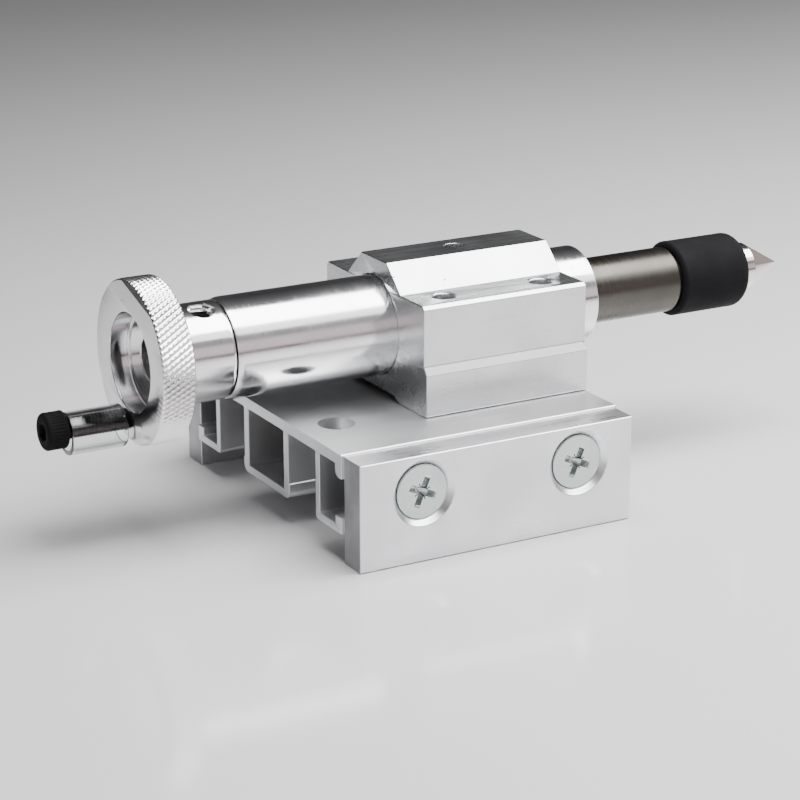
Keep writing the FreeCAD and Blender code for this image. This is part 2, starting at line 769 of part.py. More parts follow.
def make_nose_nut():
    """The nose nut, screwed on the quill's spigot, with a lip that holds the bearing.

    Its front edge is rounded off in two chamfers that follow the round's arc.
    """
    body = new_body("nose_nut", "nut_rear", "0", "axis_height")
    length = "nut_front - nut_rear"
    corners = [
        ("0", "nut_bore"),
        ("0", "nut_radius"),
        (f"{length} - nut_front_round", "nut_radius"),
        (f"{length} - nut_round_inset", "nut_radius - nut_round_inset"),
        (length, "nut_radius - nut_front_round"),
        (length, "nut_lip_bore"),
        (f"{length} - nut_lip", "nut_lip_bore"),
        (f"{length} - nut_lip", "nut_bore"),
    ]
    turn(body, draw_outline(body, "nut_half", "XZ_Plane", corners), "H_Axis")


def make_bearing():
    """The centre's bearing: an inner ring that runs in an outer ring with a small play."""
    rings = {
        "bearing_outer_ring": ("outer_land", "bearing_radius"),
        "bearing_inner_ring": ("bearing_bore", "inner_land"),
    }
    for name, (inside, outside) in rings.items():
        body = new_body(name, "spigot_front", "0", "axis_height")
        corners = [("0", inside), ("0", outside), ("bearing_width", outside), ("bearing_width", inside)]
        turn(body, draw_outline(body, name + "_half", "XZ_Plane", corners), "H_Axis")


def make_center_point():
    """The revolving centre: cone, land and a shaft through the bearing."""
    body = new_body("center_point", "bearing_front", "0", "axis_height")
    tail = "-(bearing_width + tail_end_length)"
    land = "point_boss_height + point_land"
    corners = [
        (tail, "0"),
        (tail, "shaft_radius"),
        ("0", "shaft_radius"),
        ("0", "point_boss_radius"),
        ("point_boss_height", "point_boss_radius"),
        ("point_boss_height", "point_radius"),
        (land, "point_radius"),
        (f"{land} + point_cone", "0"),
    ]
    turn(body, draw_outline(body, "center_half", "XZ_Plane", corners), "H_Axis")


def save_parts():
    """Check every object of the document, then write each body to its own file."""
    doc.recompute()
    for item in doc.Objects:
        if "Invalid" in item.State or "Error" in item.State:
            raise RuntimeError(f"{item.Label} is in error: {item.State}")
    bodies = [item for item in doc.Objects if item.TypeId == "PartDesign::Body"]
    for body in bodies:
        if body.Shape.isNull() or not body.Shape.isValid() or not body.Shape.Solids:
            raise RuntimeError(f"{body.Label} has no valid solid")
    os.makedirs("parts", exist_ok=True)
    for body in bodies:
        body.Shape.exportStep(f"parts/{body.Label}.step")
    print(len(bodies), "parts written")


def main():
    fill_sheet()
    make_deck_profile()
    for place, side in (("near", -1), ("far", 1)):
        make_side_plate(place + "_side_plate", side)
        make_plate_screws(place + "_plate_screws", side)
        make_slot_nuts(place + "_slot_nuts", side)
    make_bearing_block()
    make_block_screws()
    make_barrel()
    make_key_screw()
    make_handwheel()
    make_hub_grub_screw()
    make_lead_screw()
    make_crank_screw()
    make_crank_sleeve()
    make_quill()
    make_nose_nut()
    make_bearing()
    make_center_point()
    save_parts()


main()
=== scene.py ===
# The looks of a small lathe tailstock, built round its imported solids.
# Shapes are worked out in millimetres and made into metres when a mesh is filled.

import logging
import math
from collections.abc import Sequence
from dataclasses import dataclass
from enum import Enum

import bmesh
import bpy
import numpy as np
from mathutils import Matrix, Vector
from mathutils.geometry import tessellate_polygon
from numpy.typing import NDArray


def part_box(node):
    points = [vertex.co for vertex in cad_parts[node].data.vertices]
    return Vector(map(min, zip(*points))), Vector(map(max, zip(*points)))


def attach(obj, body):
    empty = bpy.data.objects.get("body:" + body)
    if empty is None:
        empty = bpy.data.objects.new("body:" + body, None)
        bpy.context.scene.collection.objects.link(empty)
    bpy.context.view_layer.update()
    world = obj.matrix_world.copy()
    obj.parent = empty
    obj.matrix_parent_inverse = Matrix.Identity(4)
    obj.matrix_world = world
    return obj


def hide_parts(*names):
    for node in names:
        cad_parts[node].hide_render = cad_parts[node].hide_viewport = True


Array = NDArray[np.float64]
Corner = tuple[float, float, float]
Colour = tuple[float, float, float]
Inputs = dict[str | int, object]
Socket = bpy.types.NodeSocket
Number = float | Socket

MM = 0.001
WELD = 1.0e-6
FULL_TURN = 2.0 * math.pi
SHARP_EDGE = math.radians(50.0)

log = logging.getLogger("tailstock")
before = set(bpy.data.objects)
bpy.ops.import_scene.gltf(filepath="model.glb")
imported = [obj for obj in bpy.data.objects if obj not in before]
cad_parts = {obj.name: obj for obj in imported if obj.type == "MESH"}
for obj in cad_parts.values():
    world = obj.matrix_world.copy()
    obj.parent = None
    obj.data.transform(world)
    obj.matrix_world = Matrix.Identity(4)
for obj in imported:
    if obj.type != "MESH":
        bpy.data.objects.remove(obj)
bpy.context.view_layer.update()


# Placing


@dataclass(frozen=True)
class Place:
    """A working frame: an origin in millimetres and three directions."""

    origin: tuple[float, float, float] = (0.0, 0.0, 0.0)
    across: tuple[float, float, float] = (0.0, 1.0, 0.0)
    up: tuple[float, float, float] = (0.0, 0.0, 1.0)
    along: tuple[float, float, float] = (1.0, 0.0, 0.0)

    def points(self, across: Array | float, up: Array | float, along: Array | float) -> Array:
        """Carries coordinates in this frame to the part's frame.

        Each point is the origin plus its three coordinates times the three directions.

        Args:
            across: Coordinates along the first direction.
            up: Coordinates along the second direction.
            along: Coordinates along the third direction.

        Returns:
            An array of points, with x, y and z on its last axis.
        """
        local = np.stack(np.broadcast_arrays(across, up, along), axis=-1)
        return np.array(self.origin) + local @ np.array([self.across, self.up, self.along])


@dataclass(frozen=True)
class Extent:
    """A solid's box in millimetres."""

    low: Array
    high: Array

    @classmethod
    def of(cls, node: str) -> "Extent":
        """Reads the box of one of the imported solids."""
        low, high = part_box(node)
        return cls(np.array(low) / MM, np.array(high) / MM)

    @property
    def middle(self) -> Array:
        """The middle of the box."""
        return (self.low + self.high) / 2.0


# Lines and surfaces


def turns(count: int) -> Array:
    """Even turn angles round a full circle, with the first one repeated at the end."""
    return np.append(np.arange(count) * FULL_TURN / count, 0.0)


def circle(across: float, up: float, radius: float, count: int = 48) -> Array:
    """A closed circle: sine and cosine of even turns, times the radius, about its middle."""
    turn = turns(count)[:-1]
    return np.stack([across + radius * np.sin(turn), up + radius * np.cos(turn)], axis=1)


def rounded(corners: Sequence[Corner], closed: bool = True, steps: int = 5) -> list[Array]:
    """Rounds the corners of a line with true arcs.

    An arc starts one tangent length before its corner, the radius times the tangent of half the
    turn. From there it goes the radius times the sine of the angle ahead and one minus the cosine
    to the side.

    Args:
        corners: Corner points with the radius at each.
        closed: Whether the line runs back to its start.
        steps: Pieces in each arc.

    Returns:
        The points of each corner, one array per corner.
    """
    line = np.array(corners)
    spots = line[:, :2]
    ahead = np.roll(spots, -1, axis=0) - spots
    length = np.linalg.norm(ahead, axis=1, keepdims=True)
    ahead = ahead / length
    arcs = []
    for number, (spot, radius) in enumerate(zip(spots, line[:, 2])):
        end = not closed and number in (0, len(spots) - 1)
        if radius == 0.0 or end:
            arcs.append(spot[None, :])
            continue
        before, after = ahead[number - 1], ahead[number]
        bend = math.atan2(before[0] * after[1] - before[1] * after[0], before @ after)
        side = math.copysign(1.0, bend) * np.array([-before[1], before[0]])
        angle = np.linspace(0.0, abs(bend), steps + 1)[:, None]
        start = spot - before * radius * math.tan(abs(bend) / 2.0)
        arcs.append(start + radius * (np.sin(angle) * before + (1.0 - np.cos(angle)) * side))
    return arcs


def run(*corners: Corner) -> Array:
    """An open line through the corners, rounded where a radius is given."""
    return np.concatenate(rounded(corners, closed=False))


def mirrored(half: Sequence[Corner]) -> list[Corner]:
    """A closed outline from its right half, read upwards, and the half's reflection."""
    return list(half) + [(-across, up, radius) for across, up, radius in reversed(half)]


def inset(line: Array, depth: float) -> Array:
    """Moves a closed line to its left.

    A corner moves along the sum of its two edge normals, divided by one plus their product.

    Args:
        line: Points of the closed line.
        depth: How far each edge moves.

    Returns:
        The moved points.
    """
    ahead = np.roll(line, -1, axis=0) - line
    ahead = ahead / np.linalg.norm(ahead, axis=1, keepdims=True)
    normal = np.stack([-ahead[:, 1], ahead[:, 0]], axis=1)
    before = np.roll(normal, 1, axis=0)
    return line + depth * (normal + before) / (1.0 + (normal * before).sum(axis=1, keepdims=True))


def wave(phase: Array) -> Array:
    """A triangular wave from 0 to 1 and back once per unit of phase."""
    return 1.0 - np.abs(2.0 * (phase - np.floor(phase)) - 1.0)


def ease(value: Array, low: float, high: float) -> Array:
    """A smooth rise from 0 at low to 1 at high: three squares less two cubes."""
    part = np.clip((value - low) / (high - low), 0.0, 1.0)
    return part * part * (3.0 - 2.0 * part)


def lathe(profile: Array, place: Place, turn: Array | None = None) -> Array:
    """A turned surface.

    A profile point goes its first number along the axis and its second away from it, the sine of
    the turn across and the cosine up.

    Args:
        profile: Points of distance along the axis and radius.
        place: The frame whose third direction is the axis.
        turn: The turn angles, with the first repeated at the end.

    Returns:
        A grid of points, the profile by the turns.
    """
    angle = turns(160) if turn is None else turn
    radius = profile[:, 1, None]
    return place.points(radius * np.sin(angle), radius * np.cos(angle), profile[:, 0, None])


def diamond(turn: Array, along: Array, count: int, lean: float, radius: float, cross: float) -> Array:
    """The height of a diamond knurl, from 0 to 1.

    Two triangular waves run along helices that cross; the lower one is the height. The second
    set of grooves is cut to only a share of the depth.

    Args:
        turn: Turn angles.
        along: Distances along the axis.
        count: Grooves round the rim in each direction.
        lean: The angle between a groove and the axis.
        radius: The rim's radius.
        cross: The share of the depth that the second set of grooves has.

    Returns:
        Heights for each turn and distance.
    """
    drift = along * math.tan(lean) * count / (FULL_TURN * radius)
    first = wave(turn * count / FULL_TURN - drift)
    second = wave(turn * count / FULL_TURN + drift)
    return np.minimum(first, 1.0 - cross + cross * second)


def screw_thread(turn: Array, along: Array, pitch: float) -> Array:
    """The height of a thread, 0 to 1: a triangular wave of distance over pitch less turns."""
    return wave(along / pitch - turn / FULL_TURN)


# Meshes


class Shell:
    """Gathers surfaces worked out as arrays and joins them into one closed mesh."""

    def __init__(self, name: str) -> None:
        """Starts an empty shell with the finished piece's name."""
        self.name = name
        self.points: list[Array] = []
        self.faces: list[list[int]] = []
        self.finishes: list[int] = []
        self.count = 0

    def keep(self, points: Array, faces: NDArray[np.int64], finish: int) -> None:
        """Adds points and the faces between them.

        Args:
            points: Points, with x, y and z on the last axis.
            faces: Rows of point numbers.
            finish: The number of the finish on these faces.
        """
        self.points.append(points.reshape(-1, 3))
        self.faces.extend((faces + self.count).tolist())
        self.finishes.extend([finish] * len(faces))
        self.count += points.size // 3

    def grid(self, points: Array, finish: int = 0) -> None:
        """Adds a grid of points with four-sided faces between neighbours."""
        rows, columns = points.shape[:2]
        index = np.arange(rows * columns).reshape(rows, columns)
        around = [index[:-1, :-1], index[:-1, 1:], index[1:, 1:], index[1:, :-1]]
        self.keep(points, np.stack(around, axis=-1).reshape(-1, 4), finish)

    def flat(self, place: Place, loops: Sequence[Array], along: float, finish: int = 0) -> None:
        """Fills a flat face that may have holes.

        Args:
            place: The frame whose first two directions span the face.
            loops: The face's edge, and then the edge of each hole.
            along: The face's distance along the third direction.
            finish: The number of the finish on the face.
        """
        flat = np.concatenate(loops)
        triangles = tessellate_polygon([loop.tolist() for loop in loops])
        self.keep(place.points(flat[:, 0], flat[:, 1], along), np.array(triangles), finish)

    def object(self) -> bpy.types.Object:
        """Fills a mesh with everything gathered, welds it and points its faces outwards.

        Returns:
            The new object, at the origin.
        """
        mesh = bpy.data.meshes.new(self.name)
        mesh.from_pydata((np.concatenate(self.points) * MM).tolist(), [], self.faces)
        mesh.polygons.foreach_set("material_index", np.array(self.finishes, dtype=np.int32))
        shape = bmesh.new()
        shape.from_mesh(mesh)
        bmesh.ops.remove_doubles(shape, verts=shape.verts, dist=WELD)
        bmesh.ops.dissolve_degenerate(shape, edges=shape.edges, dist=WELD)
        bmesh.ops.recalc_face_normals(shape, faces=shape.faces)
        open_edges = sum(1 for edge in shape.edges if not edge.is_manifold)
        shape.to_mesh(mesh)
        shape.free()
        mesh.shade_smooth()
        mesh.set_sharp_from_angle(angle=SHARP_EDGE)
        piece = bpy.data.objects.new(self.name, mesh)
        bpy.context.scene.collection.objects.link(piece)
        log.info("%s: %d faces, %d open edges", self.name, len(mesh.polygons), open_edges)
        return piece


@dataclass(frozen=True)
class Hole:
    """A round hole square to one face of a bar.

    Its profile lists depths and radii. A profile of one point only opens the face.
    """

    face: int
    centre: tuple[float, float]
    along: float
    profile: tuple[tuple[float, float], ...]
    finish: int = 0
    count: int = 48


@dataclass(frozen=True)
class Bar:
    """A straight bar of any section, with clipped ends, cavities along it and drilled faces."""

    place: Place
    outline: list[Array]
    span: tuple[float, float]
    clip: float = 0.15
    cavities: tuple[Array, ...] = ()
    holes: tuple[Hole, ...] = ()

    def build(self, shell: Shell, bores: tuple[list[Array], list[Array]] = ([], []), end: int = 0) -> None:
        """Adds the bar's sides, holes and ends.

        Args:
            shell: The shell that the bar is added to.
            bores: The edges of holes in the first and in the last end.
            end: The number of the finish on the two ends.
        """
        first, last = self.span
        line = np.concatenate(self.outline)
        leaves = np.cumsum([len(arc) for arc in self.outline]) - 1
        drilled = {int(leaves[hole.face]): hole.face for hole in self.holes}
        self.skin(shell, line, sorted(drilled))
        for cavity in self.cavities:
            self.skin(shell, cavity, [])
        for column, face in drilled.items():
            self.drill(shell, line[column], line[(column + 1) % len(line)], face)
        rings = [inset(ring, self.clip) for ring in (line, *self.cavities)]
        shell.flat(self.place, rings + bores[0], first, end)
        shell.flat(self.place, rings + bores[1], last, end)

    def skin(self, shell: Shell, line: Array, left_out: list[int]) -> None:
        """Carries a closed line from end to end, drawn in at both by the clip.

        Args:
            shell: The shell that the skin is added to.
            line: Points of the closed line.
            left_out: Columns left open between the clips, because they are drilled.
        """
        first, last = self.span
        narrow = inset(line, self.clip)
        rows = np.stack([narrow, line, line, narrow])
        rows = np.concatenate([rows, rows[:, :1]], axis=1)
        along = np.array([first, first + self.clip, last - self.clip, last])[:, None]
        points = self.place.points(rows[..., 0], rows[..., 1], along)
        shell.grid(points[:2])
        shell.grid(points[2:])
        for columns in np.split(np.arange(len(line) + 1), [column + 1 for column in left_out]):
            shell.grid(points[1:3, columns])

    def drill(self, shell: Shell, start: Array, end: Array, face: int) -> None:
        """Fills one long face round its holes and sinks the holes.

        Args:
            shell: The shell that the face is added to.
            start: The face's first point in the section.
            end: The face's last point in the section.
            face: The number of the face.
        """
        low, high = self.span[0] + self.clip, self.span[1] - self.clip
        length = float(np.linalg.norm(end - start))
        ahead = (end - start) / length
        directions = np.array([self.place.across, self.place.up])
        origin = self.place.points(start[0], start[1], 0.0)
        side = Place(tuple(origin), tuple(ahead @ directions), self.place.along)
        loops = [np.array([(0.0, low), (length, low), (length, high), (0.0, high)])]
        for hole in self.holes:
            if hole.face != face:
                continue
            reach = float((np.array(hole.centre) - start) @ ahead)
            loops.append(circle(reach, hole.along, hole.profile[0][1], hole.count))
            middle = side.points(reach, hole.along, 0.0)
            inwards = np.array([-ahead[1], ahead[0]]) @ directions
            well = Place(tuple(middle), side.across, side.up, tuple(inwards))
            if len(hole.profile) > 1:
                shell.grid(lathe(np.array(hole.profile), well, turns(hole.count)), hole.finish)
        shell.flat(side, loops, 0.0)


@dataclass(frozen=True)
class Slot:
    """A straight-sided hole with round ends, cut into a turned surface from above."""

    middle: float
    half_length: float
    radius: float
    floor: float
    cell: tuple[float, float]
    thread: float = 0.0

    def edge(self, boundary: Array) -> Array:
        """The point of the slot's rim for each boundary point.

        The nearest point of the slot's middle line, moved by the radius towards the boundary.

        Args:
            boundary: Points of distance along and across.

        Returns:
            The rim's points, in the same order.
        """
        along = np.clip(boundary[:, 0], -self.half_length, self.half_length)
        core = np.stack([along, np.zeros_like(along)], axis=1)
        out = boundary - core
        return core + self.radius * out / np.linalg.norm(out, axis=1, keepdims=True)

    def turn(self, radius: float, rest: int) -> Array:
        """Turn angles that meet the cell: arcsines of even steps across it, then even turns."""
        across = np.arcsin(np.linspace(-self.cell[1], self.cell[1], 17) / radius)
        others = np.linspace(across[-1], FULL_TURN + across[0], rest + 1)
        return np.concatenate([across, others[1:-1], across[:1]])

    def skin(self, shell: Shell, place: Place, radius: float, span: tuple[float, float], rest: int) -> Array:
        """Adds a cylinder's skin with the slot in it, its wall and its floor.

        Over the cell round the slot the skin is the height root of radius squared less across
        squared, blended in even steps from the rim to the cell's boundary.

        Args:
            shell: The shell that the skin is added to.
            place: The frame, with the axis third and the slot's direction second.
            radius: The cylinder's radius.
            span: Where the skin starts and ends along the axis.
            rest: Steps round the remainder of the circle.

        Returns:
            The turn angles of the skin, for what joins it.
        """
        turn = self.turn(radius, rest)
        long, wide = self.cell
        steps = np.linspace(-long, long, 17)
        inner = turn[:17]
        outer = np.append(turn[16:-1], turn[0])
        ends = np.array([[span[0], self.middle - long], [self.middle + long, span[1]]])
        for pair in ends:
            shell.grid(lathe(np.stack([pair, np.full(2, radius)], axis=1), place, inner))
        rows = np.concatenate([[span[0]], self.middle + steps, [span[1]]])
        shell.grid(lathe(np.stack([rows, np.full(len(rows), radius)], axis=1), place, outer))
        even = np.linspace(-wide, wide, 17)
        boundary = np.concatenate([
            np.stack([steps, np.full(17, -wide)], axis=1)[:-1],
            np.stack([np.full(17, long), even], axis=1)[:-1],
            np.stack([steps[::-1], np.full(17, wide)], axis=1)[:-1],
            np.stack([np.full(17, -long), even[::-1]], axis=1)[:-1],
        ])
        boundary = np.concatenate([boundary, boundary[:1]])
        rim = self.edge(boundary)
        share = np.linspace(0.0, 1.0, 7)[:, None, None]
        sheet = (1.0 - share) * rim + share * boundary
        height = np.sqrt(radius**2 - sheet[..., 1] ** 2)
        shell.grid(place.points(sheet[..., 1], height, self.middle + sheet[..., 0]))
        self.wall(shell, place, rim, height[0])
        return turn

    def wall(self, shell: Shell, place: Place, rim: Array, height: Array) -> None:
        """Adds the slot's wall, cut with a thread where it has one, and its flat floor.

        Args:
            shell: The shell that the wall is added to.
            place: The frame of the skin.
            rim: The rim's points, closed.
            height: The rim's height at each point.
        """
        share = np.linspace(0.0, 1.0, 25)[:, None]
        level = (1.0 - share) * height + share * self.floor
        angle = np.arctan2(rim[:, 0], rim[:, 1])
        depth = self.thread * ease(share, 0.0, 0.12) * ease(1.0 - share, 0.0, 0.05)
        widen = 1.0 + depth * (screw_thread(angle, level, 0.8) - 0.4) / self.radius
        shell.grid(place.points(rim[:, 1] * widen, level, self.middle + rim[:, 0] * widen))
        floor = np.stack([rim, 0.0 * rim])
        shell.grid(place.points(floor[..., 1], self.floor, self.middle + floor[..., 0]))


# Shader nodes

VECTOR = "NodeSocketVector"
FLOAT = "NodeSocketFloat"


class Nodes:
    """Fills a shader tree, one node at a time."""

    def __init__(self, tree: bpy.types.NodeTree) -> None:
        """Takes the tree and empties it."""
        self.tree = tree
        tree.nodes.clear()

    def add(self, kind: str, inputs: Inputs | None = None, **settings: object) -> bpy.types.Node:
        """Adds a node, sets it and feeds its inputs.

        Args:
            kind: The node's type.
            inputs: Values or other nodes' outputs, by input name or number.
            **settings: The node's own settings.

        Returns:
            The new node.
        """
        node = self.tree.nodes.new(kind)
        for name, value in settings.items():
            setattr(node, name, value)
        for name, value in (inputs or {}).items():
            if isinstance(value, Socket):
                self.tree.links.new(value, node.inputs[name])
            else:
                node.inputs[name].default_value = value
        return node

    def sum(self, operation: str, *values: object) -> Socket:
        """Adds a Math node and gives its result."""
        return self.add("ShaderNodeMath", dict(enumerate(values)), operation=operation).outputs[0]

    def vector(self, operation: str, *values: object) -> bpy.types.Node:
        """Adds a Vector Math node."""
        return self.add("ShaderNodeVectorMath", dict(enumerate(values)), operation=operation)

    def spread(
        self, value: Socket, low: Number, high: Number, start: float = 0.0, stop: float = 1.0
    ) -> Socket:
        """Maps low to start and high to stop, and holds the value between them."""
        ends = {"From Min": low, "From Max": high, "To Min": start, "To Max": stop}
        return self.add("ShaderNodeMapRange", {"Value": value, **ends}).outputs["Result"]

    def blend(self, share: Socket, first: object, second: object) -> Socket:
        """Mixes two colours."""
        node = self.add("ShaderNodeMix", {"Factor": share, 6: first, 7: second}, data_type="RGBA")
        return node.outputs[2]


class Effect(Enum):
    """Shader effects that several finishes share, each one node group."""

    STREAKS = "streaks"
    TURNING = "turning rings"
    CLOUDS = "clouds"
    PITS = "pits"
    SWIRL = "cutter swirl"

    def group(self) -> bpy.types.NodeTree:
        """The node group of this effect, built the first time it is asked for."""
        known = bpy.data.node_groups.get(self.value)
        return known or EFFECT_MAKERS[self](self.value)


def new_group(name: str, inputs: dict[str, str]) -> tuple[bpy.types.NodeTree, Nodes, bpy.types.Node]:
    """Starts a node group with named inputs and one output called Mask.

    Args:
        name: The group's name.
        inputs: The socket type of each input, by name.

    Returns:
        The group, the filler of its nodes and its input node.
    """
    group = bpy.data.node_groups.new(name, "ShaderNodeTree")
    for label, kind in inputs.items():
        group.interface.new_socket(label, in_out="INPUT", socket_type=kind)
    group.interface.new_socket("Mask", in_out="OUTPUT", socket_type=FLOAT)
    nodes = Nodes(group)
    return group, nodes, nodes.add("NodeGroupInput")


def make_streaks(name: str) -> bpy.types.NodeTree:
    """Fine lines: noise drawn out by a separate scale for each direction."""
    group, nodes, given = new_group(name, {"Vector": VECTOR, "Scale": VECTOR})
    drawn = nodes.vector("MULTIPLY", given.outputs["Vector"], given.outputs["Scale"]).outputs[0]
    noise = nodes.add("ShaderNodeTexNoise", {"Vector": drawn, "Scale": 1.0, "Detail": 4.0, "Roughness": 0.62})
    mask = nodes.spread(noise.outputs[0], 0.28, 0.72)
    nodes.add("NodeGroupOutput", {"Mask": mask})
    return group


def make_turning(name: str) -> bpy.types.NodeTree:
    """Turned rings: noise of the distance from the X axis and along it, hardly changing with turn."""
    group, nodes, given = new_group(name, {"Vector": VECTOR, "Fineness": FLOAT})
    parts = nodes.add("ShaderNodeSeparateXYZ", {0: given.outputs["Vector"]})
    square = nodes.sum("MULTIPLY", parts.outputs[1], parts.outputs[1])
    square = nodes.sum("MULTIPLY_ADD", parts.outputs[2], parts.outputs[2], square)
    away = nodes.sum("MULTIPLY", nodes.sum("SQRT", square), given.outputs["Fineness"])
    reach = nodes.sum("MULTIPLY", parts.outputs[0], given.outputs["Fineness"])
    turn = nodes.sum("MULTIPLY", nodes.sum("ARCTAN2", parts.outputs[1], parts.outputs[2]), 1.3)
    spot = nodes.add("ShaderNodeCombineXYZ", {0: reach, 1: away, 2: turn}).outputs[0]
    noise = nodes.add("ShaderNodeTexNoise", {"Vector": spot, "Scale": 1.0, "Detail": 3.0, "Roughness": 0.6})
    nodes.add("NodeGroupOutput", {"Mask": nodes.spread(noise.outputs[0], 0.28, 0.72)})
    return group


def make_clouds(name: str) -> bpy.types.NodeTree:
    """Slow patches: plain noise, spread to the full range."""
    group, nodes, given = new_group(name, {"Vector": VECTOR, "Scale": FLOAT})
    inputs = {"Vector": given.outputs["Vector"], "Scale": given.outputs["Scale"], "Detail": 3.0}
    noise = nodes.add("ShaderNodeTexNoise", inputs)
    nodes.add("NodeGroupOutput", {"Mask": nodes.spread(noise.outputs[0], 0.35, 0.65)})
    return group


def make_pits(name: str) -> bpy.types.NodeTree:
    """Scattered specks: the small cores of a share of random cells."""
    numbers = dict.fromkeys(("Scale", "Share", "Size"), FLOAT)
    group, nodes, given = new_group(name, {"Vector": VECTOR, **numbers})
    inputs = {key: given.outputs[key] for key in ("Vector", "Scale")}
    cells = nodes.add("ShaderNodeTexVoronoi", inputs)
    chance = nodes.add("ShaderNodeSeparateColor", {0: cells.outputs["Color"]}).outputs[0]
    chosen = nodes.sum("LESS_THAN", chance, given.outputs["Share"])
    core = nodes.sum("DIVIDE", cells.outputs["Distance"], given.outputs["Size"])
    shade = nodes.spread(core, 0.5, 1.0, 1.0, 0.0)
    nodes.add("NodeGroupOutput", {"Mask": nodes.sum("MULTIPLY", chosen, shade)})
    return group


def make_swirl(name: str) -> bpy.types.NodeTree:
    """Rings left by a cutter: a sine of the distance from a middle in X and Z, fading with reach."""
    numbers = dict.fromkeys(("Pitch", "Near", "Far"), FLOAT)
    group, nodes, given = new_group(name, {"Vector": VECTOR, "Middle": VECTOR, **numbers})
    away = nodes.vector("SUBTRACT", given.outputs["Vector"], given.outputs["Middle"]).outputs[0]
    away = nodes.vector("LENGTH", nodes.vector("MULTIPLY", away, (1.0, 0.0, 1.0)).outputs[0]).outputs["Value"]
    phase = nodes.sum("DIVIDE", away, given.outputs["Pitch"])
    rings = nodes.sum("SINE", nodes.sum("MULTIPLY", phase, FULL_TURN))
    fade = nodes.spread(away, given.outputs["Near"], given.outputs["Far"], 1.0, 0.0)
    lifted = nodes.sum("MULTIPLY_ADD", rings, 0.5, 0.5)
    nodes.add("NodeGroupOutput", {"Mask": nodes.sum("MULTIPLY", lifted, fade)})
    return group


EFFECT_MAKERS = {
    Effect.STREAKS: make_streaks,
    Effect.TURNING: make_turning,
    Effect.CLOUDS: make_clouds,
    Effect.PITS: make_pits,
    Effect.SWIRL: make_swirl,
}


# Finishes


class Grain(Enum):
    """How a metal surface was worked, which sets the way its fine lines run."""

    DRAWN = "drawn lengthways"
    TURNED = "turned on the lathe"
    BLASTED = "blasted"
    SAWN = "sawn off"
    MILLED = "face milled"


USUAL_FINENESS = 2500.0
BUMP_DISTANCE = 0.00002
PIT_SIZE = 0.22
PIT_SHADE = 0.25

STREAK_SCALE = {
    Grain.DRAWN: (25.0, 1500.0, 1500.0),
    Grain.BLASTED: (1800.0, 1800.0, 1800.0),
    Grain.SAWN: (700.0, 900.0, 160.0),
    Grain.MILLED: (60.0, 900.0, 1300.0),
}


def new_material(name: str) -> tuple[bpy.types.Material, Nodes, Socket]:
    """Starts a material that reads the position on its piece.

    Args:
        name: The material's name.

    Returns:
        The material, the filler of its nodes and the position.
    """
    material = bpy.data.materials.new(name)
    material.use_nodes = True
    nodes = Nodes(material.node_tree)
    return material, nodes, nodes.add("ShaderNodeTexCoord").outputs["Object"]


